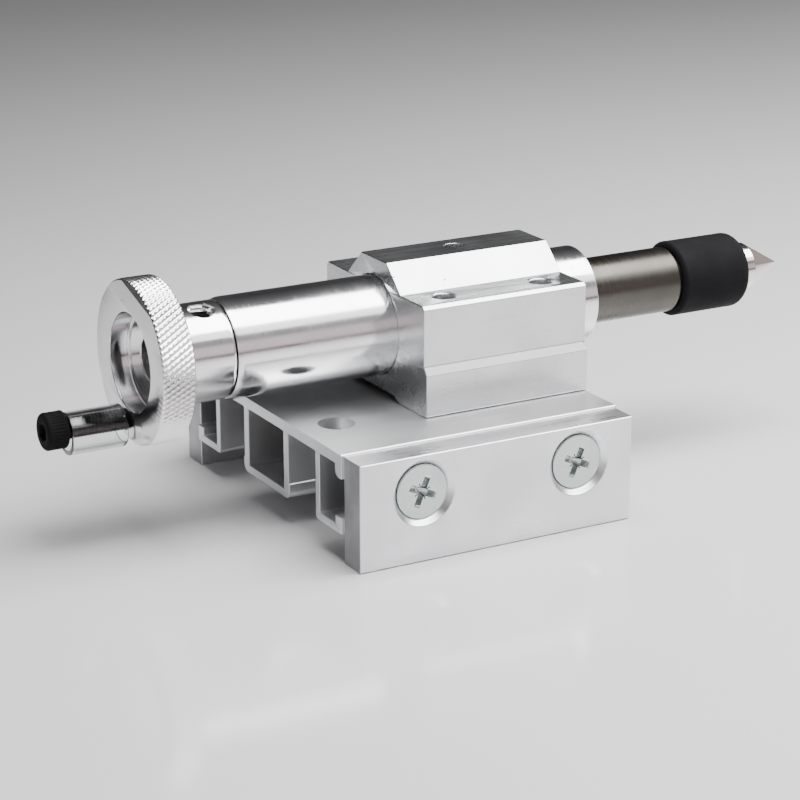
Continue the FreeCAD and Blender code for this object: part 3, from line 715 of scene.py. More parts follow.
@dataclass(frozen=True)
class Metal:
    """A worked metal surface."""

    name: str
    colour: Colour
    roughness: float
    grain: Grain
    depth: float = 0.1
    vary: float = 0.06
    fineness: float = USUAL_FINENESS
    stain: float = 0.12
    stain_scale: float = 90.0
    pits: float = 0.0
    pit_scale: float = 700.0
    metallic: float = 1.0
    gloss: float = 0.5
    axis: tuple[float, float, float] = (0.0, 0.0, 0.028)
    swirls: tuple[tuple[float, float, float, float, float], ...] = ()

    def lines(self, nodes: Nodes, spot: Socket) -> Socket:
        """The mask of the fine lines that the tool left.

        Args:
            nodes: The filler of the material's nodes.
            spot: The position on the piece.

        Returns:
            The mask.
        """
        if self.grain is Grain.TURNED:
            back = tuple(-part for part in self.axis)
            centred = nodes.add("ShaderNodeMapping", {"Vector": spot, "Location": back})
            return self.effect(nodes, Effect.TURNING, Vector=centred.outputs[0], Fineness=self.fineness)
        scale = tuple(s * self.fineness / USUAL_FINENESS for s in STREAK_SCALE[self.grain])
        return self.effect(nodes, Effect.STREAKS, Vector=spot, Scale=scale)

    @staticmethod
    def effect(nodes: Nodes, effect: Effect, **values: object) -> Socket:
        """Places a shared effect with this finish's values and gives its mask."""
        node = nodes.add("ShaderNodeGroup", node_tree=effect.group())
        for name, value in values.items():
            if isinstance(value, Socket):
                nodes.tree.links.new(value, node.inputs[name])
            else:
                node.inputs[name].default_value = value
        return node.outputs["Mask"]

    def material(self) -> bpy.types.Material:
        """Builds the material once.

        Returns:
            The material of this name.
        """
        known = bpy.data.materials.get(self.name)
        if known:
            return known
        material, nodes, spot = new_material(self.name)
        lines = self.lines(nodes, spot)
        clouds = self.effect(nodes, Effect.CLOUDS, Vector=spot, Scale=self.stain_scale)
        rough = nodes.sum("MULTIPLY_ADD", lines, self.vary, self.roughness - self.vary / 2.0)
        rough = nodes.sum("MULTIPLY_ADD", clouds, self.vary, rough)
        dull = tuple(c * (1.0 - self.stain) for c in self.colour)
        colour = nodes.blend(clouds, (*self.colour, 1.0), (*dull, 1.0))
        height = lines
        for x, z, *reach in self.swirls:
            sizes = {key: size * MM for key, size in zip(("Pitch", "Near", "Far"), reach)}
            mask = self.effect(nodes, Effect.SWIRL, Vector=spot, Middle=(x * MM, 0.0, z * MM), **sizes)
            height = nodes.sum("ADD", height, mask)
        if self.pits > 0.0:
            given = {"Scale": self.pit_scale, "Share": self.pits, "Size": PIT_SIZE}
            pits = self.effect(nodes, Effect.PITS, Vector=spot, **given)
            colour = nodes.blend(pits, colour, tuple(c * PIT_SHADE for c in self.colour) + (1.0,))
            height = nodes.sum("SUBTRACT", height, nodes.sum("MULTIPLY", pits, 2.0))
        relief = {"Strength": self.depth, "Distance": BUMP_DISTANCE, "Height": height}
        bump = nodes.add("ShaderNodeBump", relief)
        inputs = {"Base Color": colour, "Roughness": rough, "Normal": bump.outputs[0]}
        shader = nodes.add("ShaderNodeBsdfPrincipled", inputs)
        shader.inputs["Metallic"].default_value = self.metallic
        shader.inputs["Specular IOR Level"].default_value = self.gloss
        nodes.add("ShaderNodeOutputMaterial", {"Surface": shader.outputs[0]})
        return material


@dataclass(frozen=True)
class ClearPlastic:
    """A clear, slightly handled plastic tube."""

    name: str = "clear plastic tube"
    colour: tuple[float, float, float] = (0.97, 0.98, 0.98)
    roughness: float = 0.03
    ior: float = 1.49

    def material(self) -> bpy.types.Material:
        """Builds the material: a clear shader whose roughness rises in faint smears.

        Returns:
            The material of this name.
        """
        known = bpy.data.materials.get(self.name)
        if known:
            return known
        material, nodes, spot = new_material(self.name)
        smears = Metal.effect(nodes, Effect.CLOUDS, Vector=spot, Scale=260.0)
        rough = nodes.sum("MULTIPLY_ADD", smears, 0.04, self.roughness)
        tint = nodes.blend(smears, (*self.colour, 1.0), (0.93, 0.95, 0.95, 1.0))
        shader = nodes.add("ShaderNodeBsdfPrincipled", {"Base Color": tint, "Roughness": rough})
        shader.inputs["Metallic"].default_value = 0.0
        shader.inputs["IOR"].default_value = self.ior
        shader.inputs["Transmission Weight"].default_value = 1.0
        nodes.add("ShaderNodeOutputMaterial", {"Surface": shader.outputs[0]})
        return material


Finish = Metal | ClearPlastic

SATIN_BLOCK = Metal(
    "satin anodised block", (0.70, 0.71, 0.72), 0.23, Grain.DRAWN,
    depth=0.12, vary=0.06, stain=0.08, pits=0.012,
)
# The block's ends and bore: a real blasted, pitted finish, but its colour is darkened far below the sides' as
# painted shade for the shadowed surroundings these faces reflect.
BLOCK_END_PAINTED_SHADE = Metal(
    "milled block end, painted shade", (0.12, 0.123, 0.126), 0.46, Grain.BLASTED,
    depth=0.25, stain=0.15, pits=0.03,
)
EXTRUSION = Metal("satin anodised extrusion", (0.74, 0.75, 0.76), 0.38, Grain.DRAWN, depth=0.12, stain=0.06)
ROUGH_END = Metal(
    "sawn extrusion end", (0.88, 0.88, 0.88), 0.5, Grain.BLASTED,
    depth=0.6, vary=0.1, fineness=1200.0, stain=0.2,
)
SAWN_END = Metal("sawn plate end", (0.42, 0.42, 0.43), 0.34, Grain.SAWN, depth=0.9, vary=0.15, stain=0.3)
DRILLED = Metal(
    "drilled wall", (0.42, 0.42, 0.42), 0.4, Grain.BLASTED,
    depth=0.9, vary=0.15, fineness=900.0, stain=0.5, stain_scale=900.0,
)
POLISHED = Metal(
    "polished aluminium", (0.88, 0.88, 0.89), 0.12, Grain.TURNED,
    depth=0.1, vary=0.07, stain=0.05, pits=0.01,
)
TURNED_BAND = Metal("turned aluminium", (0.60, 0.60, 0.60), 0.34, Grain.TURNED, depth=0.3, fineness=4000.0)
KNURLED = Metal("knurled aluminium", (0.72, 0.72, 0.71), 0.24, Grain.BLASTED, depth=0.1)
# Painted shade: a near-black band that stands in for the shadow at the step where the wheel's face meets its
# knurl.
KNURL_EDGE_PAINTED_SHADE = Metal("painted shade at knurl edge", (0.05, 0.05, 0.05), 0.5, Grain.BLASTED, depth=0.3, metallic=0.0)
FACED = Metal(
    "faced aluminium", (0.68, 0.69, 0.70), 0.4, Grain.TURNED,
    depth=0.25, fineness=5000.0, stain=0.1,
)
GROUND_STEEL = Metal(
    "ground steel", (0.092, 0.086, 0.077), 0.26, Grain.TURNED,
    depth=0.2, vary=0.1, stain=0.22, stain_scale=60.0,
)
BEARING_STEEL = Metal("bearing steel", (0.64, 0.64, 0.65), 0.12, Grain.TURNED, depth=0.1)
NICKEL = Metal("nickel plate", (0.76, 0.72, 0.69), 0.09, Grain.TURNED, depth=0.08, stain=0.1)
ZINC = Metal("bright zinc", (0.58, 0.62, 0.61), 0.26, Grain.BLASTED, depth=0.15, stain=0.1)
BLACK_OXIDE = Metal(
    "black oxide", (0.011, 0.011, 0.012), 0.65, Grain.BLASTED,
    depth=0.3, vary=0.1, stain=0.3, metallic=0.0, gloss=0.05,
)
COUNTERSUNK = Metal("countersink", (0.84, 0.85, 0.86), 0.2, Grain.BLASTED, depth=0.2)
# Painted shade: the cross recess is coloured far darker than the zinc head, standing in for the shade that
# fills the hollow.
RECESS_PAINTED_SHADE = Metal("pressed recess, painted shade", (0.12, 0.135, 0.12), 0.4, Grain.BLASTED, depth=0.4, stain=0.4)
CLEAR = ClearPlastic()


def dress(piece: bpy.types.Object, finishes: Sequence[Finish]) -> None:
    """Puts materials in a piece's slots, in the order of the finish numbers on its faces."""
    piece.data.materials.clear()
    for finish in finishes:
        piece.data.materials.append(finish.material())


def fit(shell: Shell, finishes: Sequence[Finish], body: str, node: str) -> bpy.types.Object:
    """Makes a shell's object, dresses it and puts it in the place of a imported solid.

    Args:
        shell: The shell with the piece's surfaces.
        finishes: The finishes, in the order of their numbers.
        body: The body that the piece moves with.
        node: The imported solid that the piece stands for.

    Returns:
        The finished object.
    """
    piece = shell.object()
    dress(piece, finishes)
    normals = piece.modifiers.new("even normals", "WEIGHTED_NORMAL")
    normals.keep_sharp = True
    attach(piece, body)
    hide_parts(node)
    return piece


# The base


@dataclass(frozen=True)
class Base:
    """The extrusion, its two side plates and their screws."""

    skin: float = 2.2
    box_side: float = 9.5
    box_wall: float = 2.2
    box_floor: float = 1.66
    ledge: float = 0.3
    ledge_height: float = 3.0
    web_inside: float = 20.0
    web: float = 1.6
    channel_floor: float = 1.55
    lip: float = 2.45
    lower_lip: float = 1.65
    upper_lip: float = 2.4
    edge_round: float = 0.2
    clamp_radius: float = 3.5
    clamp_gauge: float = 14.0
    clamp_setback: float = 7.55
    hole_height: float = 7.5
    hole_setbacks: tuple[float, float] = (12.95, 11.45)
    hole_radius: float = 2.75
    countersink: float = 6.2
    head_radius: float = 5.1
    head_rim: float = 0.3
    shank: float = 2.5
    recess_reach: float = 2.75
    recess_width: float = 1.25
    recess_depth: float = 1.7
    recess_turn: float = 23.0

    def deck(self) -> bpy.types.Object:
        """The extrusion: a box keel, a slotted channel each side and two clamp holes."""
        box = Extent.of("deck_profile")
        side, top = box.high[1], box.high[2]
        ceiling, inside, small = top - self.skin, side - self.lip, self.edge_round
        narrow, outside = self.box_side - self.ledge, self.web_inside + self.web
        half = [
            (self.box_side, 0.0, 1.6),
            (self.box_side, self.ledge_height, 0.1),
            (narrow, self.ledge_height, 0.1),
            (narrow, ceiling, 0.4),
            (self.web_inside, ceiling, 0.4),
            (self.web_inside, 0.0, 1.0),
            (side, 0.0, small),
            (side, self.channel_floor + self.lower_lip, small),
            (inside, self.channel_floor + self.lower_lip, small),
            (inside, self.channel_floor, small),
            (outside, self.channel_floor, 0.4),
            (outside, ceiling, 0.4),
            (inside, ceiling, small),
            (inside, ceiling - self.upper_lip, 1.2),
            (side, ceiling - self.upper_lip, small),
            (side, top, 0.45),
        ]
        wall = self.box_side - self.box_wall
        lengths = ((-wall, self.box_floor), (-wall, ceiling), (wall, ceiling), (wall, self.box_floor))
        cavity = np.concatenate(rounded([(*corner, 0.3) for corner in lengths], steps=4))
        x = box.low[0] + self.clamp_setback
        rough = tuple((depth, self.clamp_radius) for depth in (0.0, self.skin))
        holes = []
        for y, under in ((-self.clamp_gauge, 27), (self.clamp_gauge, 3)):
            holes.append(Hole(15, (y, top), x, rough, 2, 64))
            holes.append(Hole(under, (y, ceiling), x, rough[:1], 2, 64))
        outline = rounded(mirrored(half), steps=4)
        bar = Bar(Place(), outline, (box.low[0], box.high[0]), 0.12, (cavity,), tuple(holes))
        shell = Shell("deck")
        bar.build(shell, end=1)
        return fit(shell, (EXTRUSION, ROUGH_END, DRILLED), "base", "deck_profile")

    def spots(self, side: int) -> tuple[float, float]:
        """Where a plate's two holes are along X: the far plate is the near one turned round."""
        half = Extent.of("near_side_plate").high[0]
        return side * (half - self.hole_setbacks[0]), side * (self.hole_setbacks[1] - half)

    def plate(self, name: str, side: int) -> bpy.types.Object:
        """A side plate with two countersunk holes.

        Args:
            name: The solid that the plate stands for.
            side: Minus one for the near plate and one for the far plate.

        Returns:
            The plate.
        """
        box = Extent.of(name)
        x, z = box.high[0], (box.low[2], box.high[2])
        corners = [(-x, z[0], 0.2), (x, z[0], 0.2), (x, z[1], 0.2), (-x, z[1], 0.2)]
        place = Place((0.0, 0.0, 0.0), (1.0, 0.0, 0.0), (0.0, 0.0, 1.0), (0.0, 1.0, 0.0))
        outer, inner = (box.low[1], box.high[1]) if side < 0 else (box.high[1], box.low[1])
        wide, narrow = (
            [circle(spot, self.hole_height, radius, 64) for spot in self.spots(side)]
            for radius in (self.countersink + 0.15, self.hole_radius)
        )
        shell = Shell(name.replace("_side", ""))
        bores = (wide, narrow) if side < 0 else (narrow, wide)
        bar = Bar(place, rounded(corners, steps=3), (box.low[1], box.high[1]), 0.2)
        bar.build(shell, bores)
        reach = self.countersink - self.hole_radius
        sink = np.array([(0.0, 0.15), (0.12, 0.0), (0.12 + reach, -reach), (abs(inner - outer), -reach)])
        sink[:, 1] += self.countersink
        for spot in self.spots(side):
            middle = (spot, outer, self.hole_height)
            well = Place(middle, (1.0, 0.0, 0.0), (0.0, 0.0, 1.0), (0.0, float(-side), 0.0))
            shell.grid(lathe(sink, well, turns(64)), 2)
        piece = fit(shell, (self.milled(side), SAWN_END, COUNTERSUNK), "base", name)
        self.mark_ends(piece)
        return piece

    def milled(self, side: int) -> Metal:
        """The plate's finish: long mill strokes with cutter rings round its holes."""
        rings = tuple((spot, self.hole_height, 0.55, 6.5, 10.5) for spot in self.spots(side))
        name = "milled plate near" if side < 0 else "milled plate far"
        arcs = ((-48.0, 18.0, 2.2, 24.0, 46.0),)
        colour = (0.80, 0.81, 0.83)
        worked = {"depth": 0.22, "vary": 0.1, "stain": 0.08}
        return Metal(name, colour, 0.27, Grain.MILLED, swirls=rings + arcs, **worked)

    @staticmethod
    def mark_ends(piece: bpy.types.Object) -> None:
        """Gives the faces that look along X the sawn finish."""
        count = len(piece.data.polygons)
        normals = np.empty(count * 3)
        piece.data.polygons.foreach_get("normal", normals)
        numbers = np.empty(count, dtype=np.int32)
        piece.data.polygons.foreach_get("material_index", numbers)
        ends = np.abs(normals.reshape(-1, 3)[:, 0]) > 0.9
        numbers[ends & (numbers == 0)] = 1
        piece.data.polygons.foreach_set("material_index", numbers)

    def recess(self, turn: Array) -> Array:
        """The radius of a cross recess at each turn.

        An arm's radius is the least of its reach over the cosine and half its width over the
        sine. Four thin ticks between the arms are shorter, narrower arms.

        Args:
            turn: Turn angles from the first arm.

        Returns:
            The radii.
        """
        radius = np.full_like(turn, 0.5)
        arms = [(number * math.pi / 2.0, self.recess_reach, self.recess_width) for number in range(4)]
        arms += [(middle + math.pi / 4.0, self.recess_reach * 0.62, 0.22) for middle, _, _ in arms[:4]]
        for middle, reach, width in arms:
            off = turn - middle
            forward = np.maximum(np.cos(off), 1.0e-3)
            sideways = np.maximum(np.abs(np.sin(off)), 1.0e-3)
            arm = np.minimum(reach / forward, width / 2.0 / sideways)
            radius = np.maximum(radius, np.where(np.cos(off) > 0.3, arm, 0.0))
        return radius

    def screws(self, name: str, side: int) -> bpy.types.Object:
        """The two countersunk cross-recess screws of one plate.

        Args:
            name: The solids that the screws stand for.
            side: Minus one for the near plate and one for the far plate.

        Returns:
            Both screws as one piece.
        """
        box = Extent.of(name)
        outer, inner = (box.low[1], box.high[1]) if side < 0 else (box.high[1], box.low[1])
        turn = turns(192)
        cross = self.recess(np.remainder(turn, FULL_TURN))
        cone = self.head_radius - self.shank
        head = run(
            (0.0, self.head_radius - 0.25, 0.0),
            (0.0, self.head_radius, 0.18),
            (self.head_rim, self.head_radius, 0.1),
            (self.head_rim + cone, self.shank, 0.0),
            (abs(inner - outer), self.shank, 0.0),
            (abs(inner - outer), 0.0, 0.0),
        )
        flat = np.linspace(0.0, 1.0, 5)[:, None] * (self.head_radius - 0.25 - cross) + cross
        walls = np.array([1.0, 0.97, 0.88, 0.8, 0.0])[:, None] * cross
        depths = np.array([0.0, 0.08, 0.9, self.recess_depth, self.recess_depth + 0.5])[:, None]
        shell = Shell(name.replace("plate", "countersunk"))
        lean = math.radians(self.recess_turn) * side
        for spot in self.spots(side):
            across = (math.cos(lean), 0.0, math.sin(lean))
            up = (-math.sin(lean), 0.0, math.cos(lean))
            place = Place((spot, outer, self.hole_height), across, up, (0.0, float(-side), 0.0))
            shell.grid(lathe(head, place, turn))
            shell.grid(place.points(flat * np.sin(turn), flat * np.cos(turn), 0.0))
            # The recess walls take the dark painted shade.
            shell.grid(place.points(walls * np.sin(turn), walls * np.cos(turn), depths), 1)
        return fit(shell, (ZINC, RECESS_PAINTED_SHADE), "base", name)

    def build(self) -> None:
        """Makes the base's visible pieces and dresses the nuts in the channels."""
        self.deck()
        for name, side in (("near", -1), ("far", 1)):
            self.plate(f"{name}_side_plate", side)
            self.screws(f"{name}_plate_screws", side)
            dress(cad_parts[f"{name}_slot_nuts"], (ZINC,))


# The housing


@dataclass(frozen=True)
class Housing:
    """The bearing block and the barrel that it holds."""

    foot: float = 8.1
    slope: float = 1.5
    waist: float = 19.0
    shoulder: float = 21.0
    shoulder_clip: float = 0.65
    foot_clip: float = 0.4
    saddle: float = 10.2
    crown: float = 4.85
    relief: float = 9.5
    relief_slope: float = 1.9
    relief_depth: float = 1.0
    gauge: float = 14.0
    pitch: float = 21.0
    pilot: float = 2.15
    pilot_sink: float = 0.4
    tap: float = 2.52
    tap_depth: float = 12.0
    key_hole: float = 2.02
    key_depth: float = 3.45
    bore_clip: float = 0.25
    rear_step: float = 0.35
    rear_clip: float = 1.3
    end_wall: float = 6.0
    wall_bore: float = 4.05
    barrel_bore: float = 6.53

    def block(self) -> bpy.types.Object:
        """The block: its section carried along the quill, bored, with its screw holes."""
        box = Extent.of("bearing_block")
        axis = Extent.of("barrel").middle[2]
        radius = Extent.of("barrel").high[2] - axis + 0.01
        side, low, tall = box.high[1], box.low[2], box.high[2] - box.low[2]
        half = [
            (self.relief - self.relief_slope, self.relief_depth, 0.2),
            (self.relief, 0.0, 0.3),
            (side - self.foot_clip, 0.0, 0.15),
            (side, self.foot_clip, 0.2),
            (side, self.foot, 0.2),
            (self.waist, self.foot + self.slope, 0.4),
            (self.waist, self.shoulder - self.shoulder_clip, 0.2),
            (self.waist - self.shoulder_clip, self.shoulder, 0.2),
            (self.saddle, self.shoulder, 0.3),
            (self.crown, tall, 0.2),
        ]
        place = Place((0.0, 0.0, low))
        middle = box.middle[0]
        step, key = self.shoulder - self.tap_depth, self.key_hole
        through = (
            (0.0, self.pilot + self.pilot_sink),
            (self.pilot_sink, self.pilot),
            (step, self.pilot),
            (step, self.tap),
            (self.shoulder, self.tap),
        )
        crown = ((0.0, key + 0.12), (0.12, key), (self.key_depth, key), (self.key_depth, 0.0))
        holes = [Hole(9, (0.0, tall), middle, crown, 2)]
        for x in (middle - self.pitch / 2.0, middle + self.pitch / 2.0):
            for y, top, bottom in ((self.gauge, 7, 1), (-self.gauge, 11, 17)):
                holes.append(Hole(top, (y, self.shoulder), x, through))
                holes.append(Hole(bottom, (y, 0.0), x, ((0.0, self.tap),)))
        bar = Bar(place, rounded(mirrored(half), steps=3), (box.low[0], box.high[0]), 0.15, (), tuple(holes))
        ring = circle(0.0, axis - low, radius + self.bore_clip, 160)
        shell = Shell("housing_block")
        # The ends and the bore take the block-end finish, darkened with painted shade.
        bar.build(shell, ([ring], [ring]), 1)
        start, stop, clip = box.low[0], box.high[0], self.bore_clip
        wide = radius + clip
        bore = np.array([(start, wide), (start + clip, radius), (stop - clip, radius), (stop, wide)])
        shell.grid(lathe(bore, Place((0.0, 0.0, axis))), 1)
        return fit(shell, (SATIN_BLOCK, BLOCK_END_PAINTED_SHADE, DRILLED), "base", "bearing_block")

    def barrel(self) -> bpy.types.Object:
        """The fixed sleeve: a polished outside, a dull clipped rear edge and a bored inside."""
        box = Extent.of("barrel")
        start, stop, radius = box.low[0], box.high[0], box.high[1]
        place = Place((0.0, 0.0, box.middle[2]))
        edge = radius - self.rear_step
        shell = Shell("barrel_sleeve")
        clipped = (start + self.rear_clip, radius, 0.0)
        mouth = (stop, self.barrel_bore + 0.3, 0.0)
        shell.grid(lathe(run((start, self.wall_bore, 0.0), (start, edge, 0.08), clipped), place), 1)
        shell.grid(lathe(run(clipped, (stop, radius, 0.25), mouth), place))
        inside = run(
            mouth,
            (stop - 0.3, self.barrel_bore, 0.0),
            (start + self.end_wall, self.barrel_bore, 0.0),
            (start + self.end_wall, self.wall_bore, 0.0),
            (start, self.wall_bore, 0.0),
        )
        shell.grid(lathe(inside, place), 1)
        return fit(shell, (POLISHED, TURNED_BAND), "base", "barrel")

    def build(self) -> None:
        """Makes the block and barrel and dresses the screws in them."""
        self.block()
        self.barrel()
        for name in ("block_screws", "key_screw"):
            dress(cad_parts[name], (BLACK_OXIDE,))


# The handwheel


@dataclass(frozen=True)
class Drive:
    """The knurled handwheel, its crank screw and the loose clear sleeve on it."""

    rim_width: float = 6.3
    rim_clip: float = 0.43
    knurl_depth: float = 0.42
    knurl_count: int = 88
    knurl_lean: float = math.radians(30.0)
    knurl_cross: float = 0.5
    recess_radius: float = 9.1
    recess_depth: float = 3.9
    hub_radius: float = 9.15
    bore: float = 4.03
    grub_setback: float = 4.0
    grub_radius: float = 2.5
    grub_floor: float = 5.0
    wheel_turn: float = 17.0
    crank_offset: float = 12.175
    crank_radius: float = 2.0
    head_length: float = 4.0
    socket: float = 3.0
    socket_depth: float = 2.0
    thread_pitch: float = 0.7
    thread_depth: float = 0.36
    sleeve_wall: float = 0.85

    def wheel(self) -> bpy.types.Object:
        """The handwheel, one turning: knurled rim, dished face and hub with a tapped hole."""
        box = Extent.of("handwheel")
        rear, front = box.low[0], box.high[0]
        axis, radius = box.middle[2], box.high[1] - box.middle[1]
        lean = math.radians(self.wheel_turn)
        sine, cosine = math.sin(lean), math.cos(lean)
        place = Place((0.0, 0.0, axis), (0.0, cosine, sine), (0.0, -sine, cosine))
        shoulder = rear + self.rim_width
        shell = Shell("knurled_handwheel")
        edge = radius - self.rim_clip
        self.rim(shell, place, (rear, shoulder), radius)
        hole = circle(0.0, -self.crank_offset, self.crank_radius + 0.12)
        lip = self.recess_radius + 0.2
        rim_ring = circle(0.0, 0.0, edge, 792)
        shell.flat(place, [rim_ring, circle(0.0, 0.0, lip, 160), hole], rear, 1)
        inside = run(
            (rear, lip, 0.0),
            (rear + 0.2, self.recess_radius, 0.0),
            (rear + self.recess_depth, self.recess_radius, 0.5),
            (rear + self.recess_depth, self.bore + 0.25, 0.0),
            (rear + self.recess_depth + 0.25, self.bore, 0.0),
            (front - 0.2, self.bore, 0.0),
        )
        shell.grid(lathe(inside, place), 2)
        crank = Place(tuple(place.points(0.0, -self.crank_offset, 0.0)), place.across, place.up)
        tube = np.array([(rear, self.crank_radius + 0.12), (shoulder, self.crank_radius + 0.12)])
        shell.grid(lathe(tube, crank, turns(48)), 2)
        slot = Slot(front - self.grub_setback, 0.0, self.grub_radius, self.grub_floor, (3.2, 3.2), 0.5)
        turn = slot.skin(shell, place, self.hub_radius, (shoulder, front - 0.25), 120)
        hub = self.hub_radius
        nose = [(front - 0.25, hub), (front, hub - 0.25), (front, self.bore + 0.2)]
        shell.grid(lathe(np.array(nose), place, turn))
        ring = np.stack([np.sin(turn[:-1]), np.cos(turn[:-1])], axis=1)
        shell.flat(place, [ring * (self.bore + 0.2), circle(0.0, 0.0, self.bore, 160)], front, 0)
        end = np.array([(front, self.bore), (front - 0.2, self.bore)])
        shell.grid(lathe(end, place), 2)
        shell.flat(place, [rim_ring, ring * self.hub_radius, hole], shoulder, 1)
        finishes = (POLISHED, FACED, TURNED_BAND, KNURLED, KNURL_EDGE_PAINTED_SHADE)
        return fit(shell, finishes, "wheel", "handwheel")

    def rim(self, shell: Shell, place: Place, span: tuple[float, float], radius: float) -> None:
        """Adds the knurled rim.

        The radius is the rim's less the knurl's depth times one minus its height, and never more
        than the clip at each edge allows.

        Args:
            shell: The shell of the wheel.
            place: The wheel's frame.
            span: Where the rim starts and ends.
            radius: The rim's radius.
        """
        turn = turns(792)
        rows = np.linspace(span[0] + 0.08, span[1] - 0.05, 50)
        along = np.concatenate([[span[0]], rows, [span[1]]])[:, None]
        height = diamond(turn, along, self.knurl_count, self.knurl_lean, radius, self.knurl_cross)
        # The rows next to the face take the near-black painted shade of the step between face and knurl.
        painted_shade_rows = 2
        cut = radius - self.knurl_depth * (1.0 - height)
        edge = radius - self.rim_clip + np.minimum(along - span[0], span[1] - along)
        shape = np.minimum(cut, edge)
        skin = place.points(shape * np.sin(turn), shape * np.cos(turn), along)
        shell.grid(skin[:painted_shade_rows + 1], 4)
        shell.grid(skin[painted_shade_rows:], 3)

    def crank(self) -> bpy.types.Object:
        """The socket-head screw that serves as the crank's pin.

        The head's radius drops in fine straight grooves, a triangular wave of the turn. The
        shank's drops by a thread that fades out at both ends.

        Returns:
            The screw.
        """
        box = Extent.of("crank_screw")
        start, stop = box.low[0], box.high[0]
        neck, head = start + self.head_length, (box.high[1] - box.low[1]) / 2.0
        place = Place((0.0, box.middle[1], box.middle[2]))
        turn = turns(180)
        shell = Shell("crank_pin")
        hexagon = self.socket / 2.0 / np.cos(np.remainder(turn, math.pi / 3.0) - math.pi / 6.0)
        share = np.linspace(0.0, 1.0, 4)[:, None]
        flat = (1.0 - share) * (hexagon + 0.12) + share * (head - 0.75)
        shell.grid(place.points(flat * np.sin(turn), flat * np.cos(turn), start))
        walls = np.array([[0.12], [0.0], [0.0]]) + hexagon
        walls = np.concatenate([walls, 0.0 * hexagon[None]])
        depths = start + np.array([0.0, 0.12, self.socket_depth, self.socket_depth + 0.6])[:, None]
        shell.grid(place.points(walls * np.sin(turn), walls * np.cos(turn), depths))
        edges = ((start, head, 0.7), (neck, head, 0.35))
        cap = run((start, head - 0.75, 0.0), *edges, (neck, self.crank_radius, 0.0))
        side = np.stack([np.linspace(start + 0.8, neck - 0.45, 10), np.full(10, head)], axis=1)
        cap = np.concatenate([cap[:7], side, cap[7:]])
        along, radius = cap[:, 0, None], cap[:, 1, None]
        band = ease(along, start + 0.5, start + 1.1) * ease(-along, 0.35 - neck, 0.7 - neck)
        band = band * (radius > head - 0.05)
        radius = radius - 0.16 * band * (1.0 - wave(turn * 36 / FULL_TURN))
        shell.grid(place.points(radius * np.sin(turn), radius * np.cos(turn), along))
        along = np.linspace(neck, stop - 0.4, 220)[:, None]
        fade = ease(along, neck + 0.3, neck + 1.0) * ease(-along, -stop + 0.4, -stop + 1.4)
        groove = 1.0 - screw_thread(turn, along, self.thread_pitch)
        radius = self.crank_radius - self.thread_depth * fade * groove
        shell.grid(place.points(radius * np.sin(turn), radius * np.cos(turn), along))
        tip = np.array([(stop - 0.4, self.crank_radius), (stop, self.crank_radius - 0.4), (stop, 0.0)])
        shell.grid(lathe(tip, place, turn))
        return fit(shell, (BLACK_OXIDE,), "wheel", "crank_screw")

    def sleeve(self) -> bpy.types.Object:
        """The clear sleeve: a plain tube with eased ends."""
        box = Extent.of("crank_sleeve")
        start, stop = box.low[0], box.high[0]
        radius = (box.high[1] - box.low[1]) / 2.0
        bore = radius - self.sleeve_wall
        corners = [(start, bore, 0.12), (start, radius, 0.2), (stop, radius, 0.2), (stop, bore, 0.12)]
        line = np.concatenate(rounded(corners, steps=4))
        shell = Shell("crank_tube")
        place = Place((0.0, box.middle[1], box.middle[2]))
        shell.grid(lathe(np.concatenate([line, line[:1]]), place, turns(96)))
        return fit(shell, (CLEAR,), "sleeve", "crank_sleeve")

    def build(self) -> None:
        """Makes the wheel, crank and sleeve and dresses the two screws in the hub."""
        self.wheel()
        self.crank()
        self.sleeve()
        dress(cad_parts["hub_grub_screw"], (BLACK_OXIDE,))
        dress(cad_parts["lead_screw"], (GROUND_STEEL,))


# The quill and its centre


